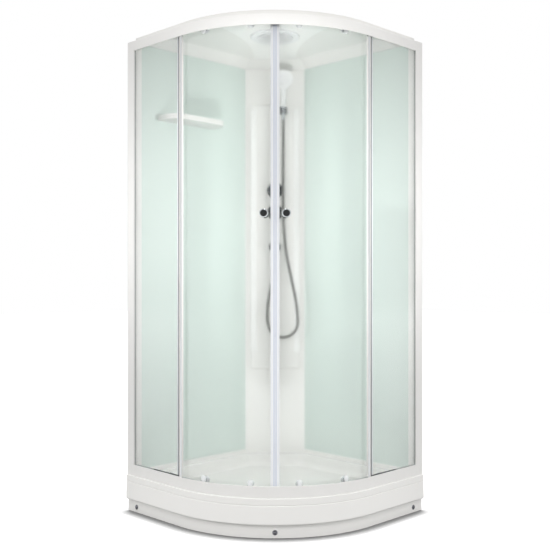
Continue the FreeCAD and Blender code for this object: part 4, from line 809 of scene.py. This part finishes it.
def is_light_path(tree):
    """1 where a ray has left a matt surface, so that it only carries light, and 0 where it is seen."""
    depth = add(tree, "LightPath").outputs["Diffuse Depth"]
    return add(tree, "Math", {0: depth, 1: 0.5}, operation="GREATER_THAN").outputs["Value"]


def seen_directly(tree):
    """1 for what the camera sees, straight, through glass or in a mirror, and 0 for what lights the cabin."""
    rays = add(tree, "LightPath")
    seen = rays.outputs["Is Camera Ray"]
    for kind in ("Is Glossy Ray", "Is Transmission Ray"):
        seen = add(tree, "Math", {0: seen, 1: rays.outputs[kind]}, operation="ADD", use_clamp=True).outputs[0]
    lit = is_light_path(tree)
    return add(tree, "Math", {0: seen, 1: lit}, operation="SUBTRACT", use_clamp=True).outputs[0]


def hang_sky():
    sky = bpy.data.worlds.new("studio_sky")
    sky.use_nodes = True
    scene.world = sky
    tree = sky.node_tree
    backdrop = tree.nodes["Background"]
    backdrop.inputs["Color"].default_value = (1, 1, 1, 1)
    level = add(tree, "MapRange", {"Value": seen_directly(tree), "To Min": SKY_LEVEL, "To Max": 1})
    tree.links.new(level.outputs["Result"], backdrop.inputs["Strength"])


def lay_floor():
    bpy.ops.object.select_all(action="DESELECT")
    bpy.ops.mesh.primitive_plane_add(size=FLOOR_WIDTH)
    floor = bpy.context.object
    floor.name = "studio_floor"
    values = {"Base Color": linear("#8C8C8C"), "Roughness": 0.8, "Emission Color": (1, 1, 1, 1)}
    paper, tree, shader = new_finish("white_floor", values)[:3]
    open_sky = add(tree, "AmbientOcclusion", {"Distance": CONTACT_SHADOW}, samples=16)
    reach = {"Value": open_sky.outputs["AO"], "From Min": DEEPEST_SHADOW, "To Max": FLOOR_LIFT}
    shade = add(tree, "MapRange", reach)
    lift = add(tree, "Math", {0: shade.outputs["Result"], 1: seen_directly(tree)}, operation="MULTIPLY")
    tree.links.new(lift.outputs["Value"], shader.inputs["Emission Strength"])
    floor.data.materials.append(paper)


def stand_flag():
    """A dark card behind the camera, soft at its edge, that shows in gloss alone."""
    bpy.ops.object.select_all(action="DESELECT")
    bpy.ops.mesh.primitive_plane_add(size=FLAG_WIDTH, location=FLAG_SPOT, rotation=(QUARTER, 0, QUARTER / 2))
    flag = bpy.context.object
    flag.name = "dark_flag"
    flag.visible_camera = False
    flag.visible_diffuse = False
    flag.visible_shadow = False
    velvet, tree, shader, spot = new_finish(
        "black_velvet", {"Base Color": (0, 0, 0, 1), "Specular IOR Level": 0, "Emission Color": (1, 1, 1, 1)}
    )
    spread = add(tree, "Mapping", {"Vector": spot, "Scale": [2 / FLAG_WIDTH] * 3})
    ball = add(tree, "TexGradient", {"Vector": spread.outputs["Vector"]}, gradient_type="SPHERICAL")
    fade = {"Value": ball.outputs["Fac"], "From Max": 0.6, "To Min": 1, "To Max": FLAG_LEVEL}
    shade = add(tree, "MapRange", fade, interpolation_type="SMOOTHSTEP")
    glow = {"Value": is_light_path(tree), "To Min": shade.outputs["Result"], "To Max": SKY_LEVEL}
    tree.links.new(add(tree, "MapRange", glow).outputs["Result"], shader.inputs["Emission Strength"])
    flag.data.materials.append(velvet)


def lamp_group(name, pieces, state):
    """Pieces that a lamp leaves out (EXCLUDE) or lights alone (INCLUDE), as narrow flags on it would."""
    group = bpy.data.collections.new(name)
    for piece in pieces:
        group.objects.link(piece)
    for entry in group.collection_objects:
        entry.light_linking.link_state = state
    return group


def hang_softbox(name, place, target, size, power, spread, group=None, glint=False):
    """A lamp, width by height, that faces a target, with a beam in degrees; a glint shows it in gloss."""
    lamp = bpy.data.lights.new(name, "AREA")
    lamp.shape = "RECTANGLE"
    lamp.size, lamp.size_y = size
    lamp.energy = power
    lamp.spread = math.radians(spread)
    item = bpy.data.objects.new(name, lamp)
    item.location = place
    item.rotation_euler = (Vector(target) - Vector(place)).to_track_quat("-Z", "Y").to_euler()
    item.visible_glossy = glint
    item.visible_transmission = False
    item.light_linking.receiver_collection = group
    scene.collection.objects.link(item)


hang_sky()
lay_floor()
stand_flag()
seals = [frame["nodes"]["left_magnet_seal"], frame["nodes"]["right_magnet_seal"]] + seal_lips
no_seals = lamp_group("all_but_seals", seals, "EXCLUDE")
only_seals = lamp_group("seals_alone", seals, "INCLUDE")
hang_softbox("right_softbox", (4.4, 0.9, 1.3), (-0.44, -0.3, 1.25), SOFTBOX, 1.95, spread=22, group=no_seals)
hang_softbox("left_softbox", (-0.9, -4.4, 1.3), (0.3, 0.44, 1.25), SOFTBOX, 1.95, spread=22, group=no_seals)
hang_softbox("column_spot", (3.6, -3.6, 1.5), (-0.3, 0.3, 1.12), SOFTBOX, 1.7, spread=20, group=no_seals)
hang_softbox("seal_strip", (2.9, -2.9, 1.7), (-0.3, 0.3, 1.7), STRIP, 1.5, spread=40, group=only_seals)
hang_softbox("right_foot_spot", (4.4, -0.2, 0.06), (0.45, 0.2, 0.08), SPOT, 0.14, spread=14)
hang_softbox("left_foot_spot", (0.2, -4.4, 0.06), (-0.2, -0.45, 0.08), SPOT, 0.14, spread=14)
hang_softbox(
    "ceiling_kicker", (1.25, -1.25, 0.05), (-0.15, 0.15, 2.0), KICKER, 2.1, spread=30, group=no_seals
)
hang_softbox("tray_spot", (1.7, -1.7, 2.7), (0, 0, 0.1), SPOT, 0.85, spread=30, glint=True)
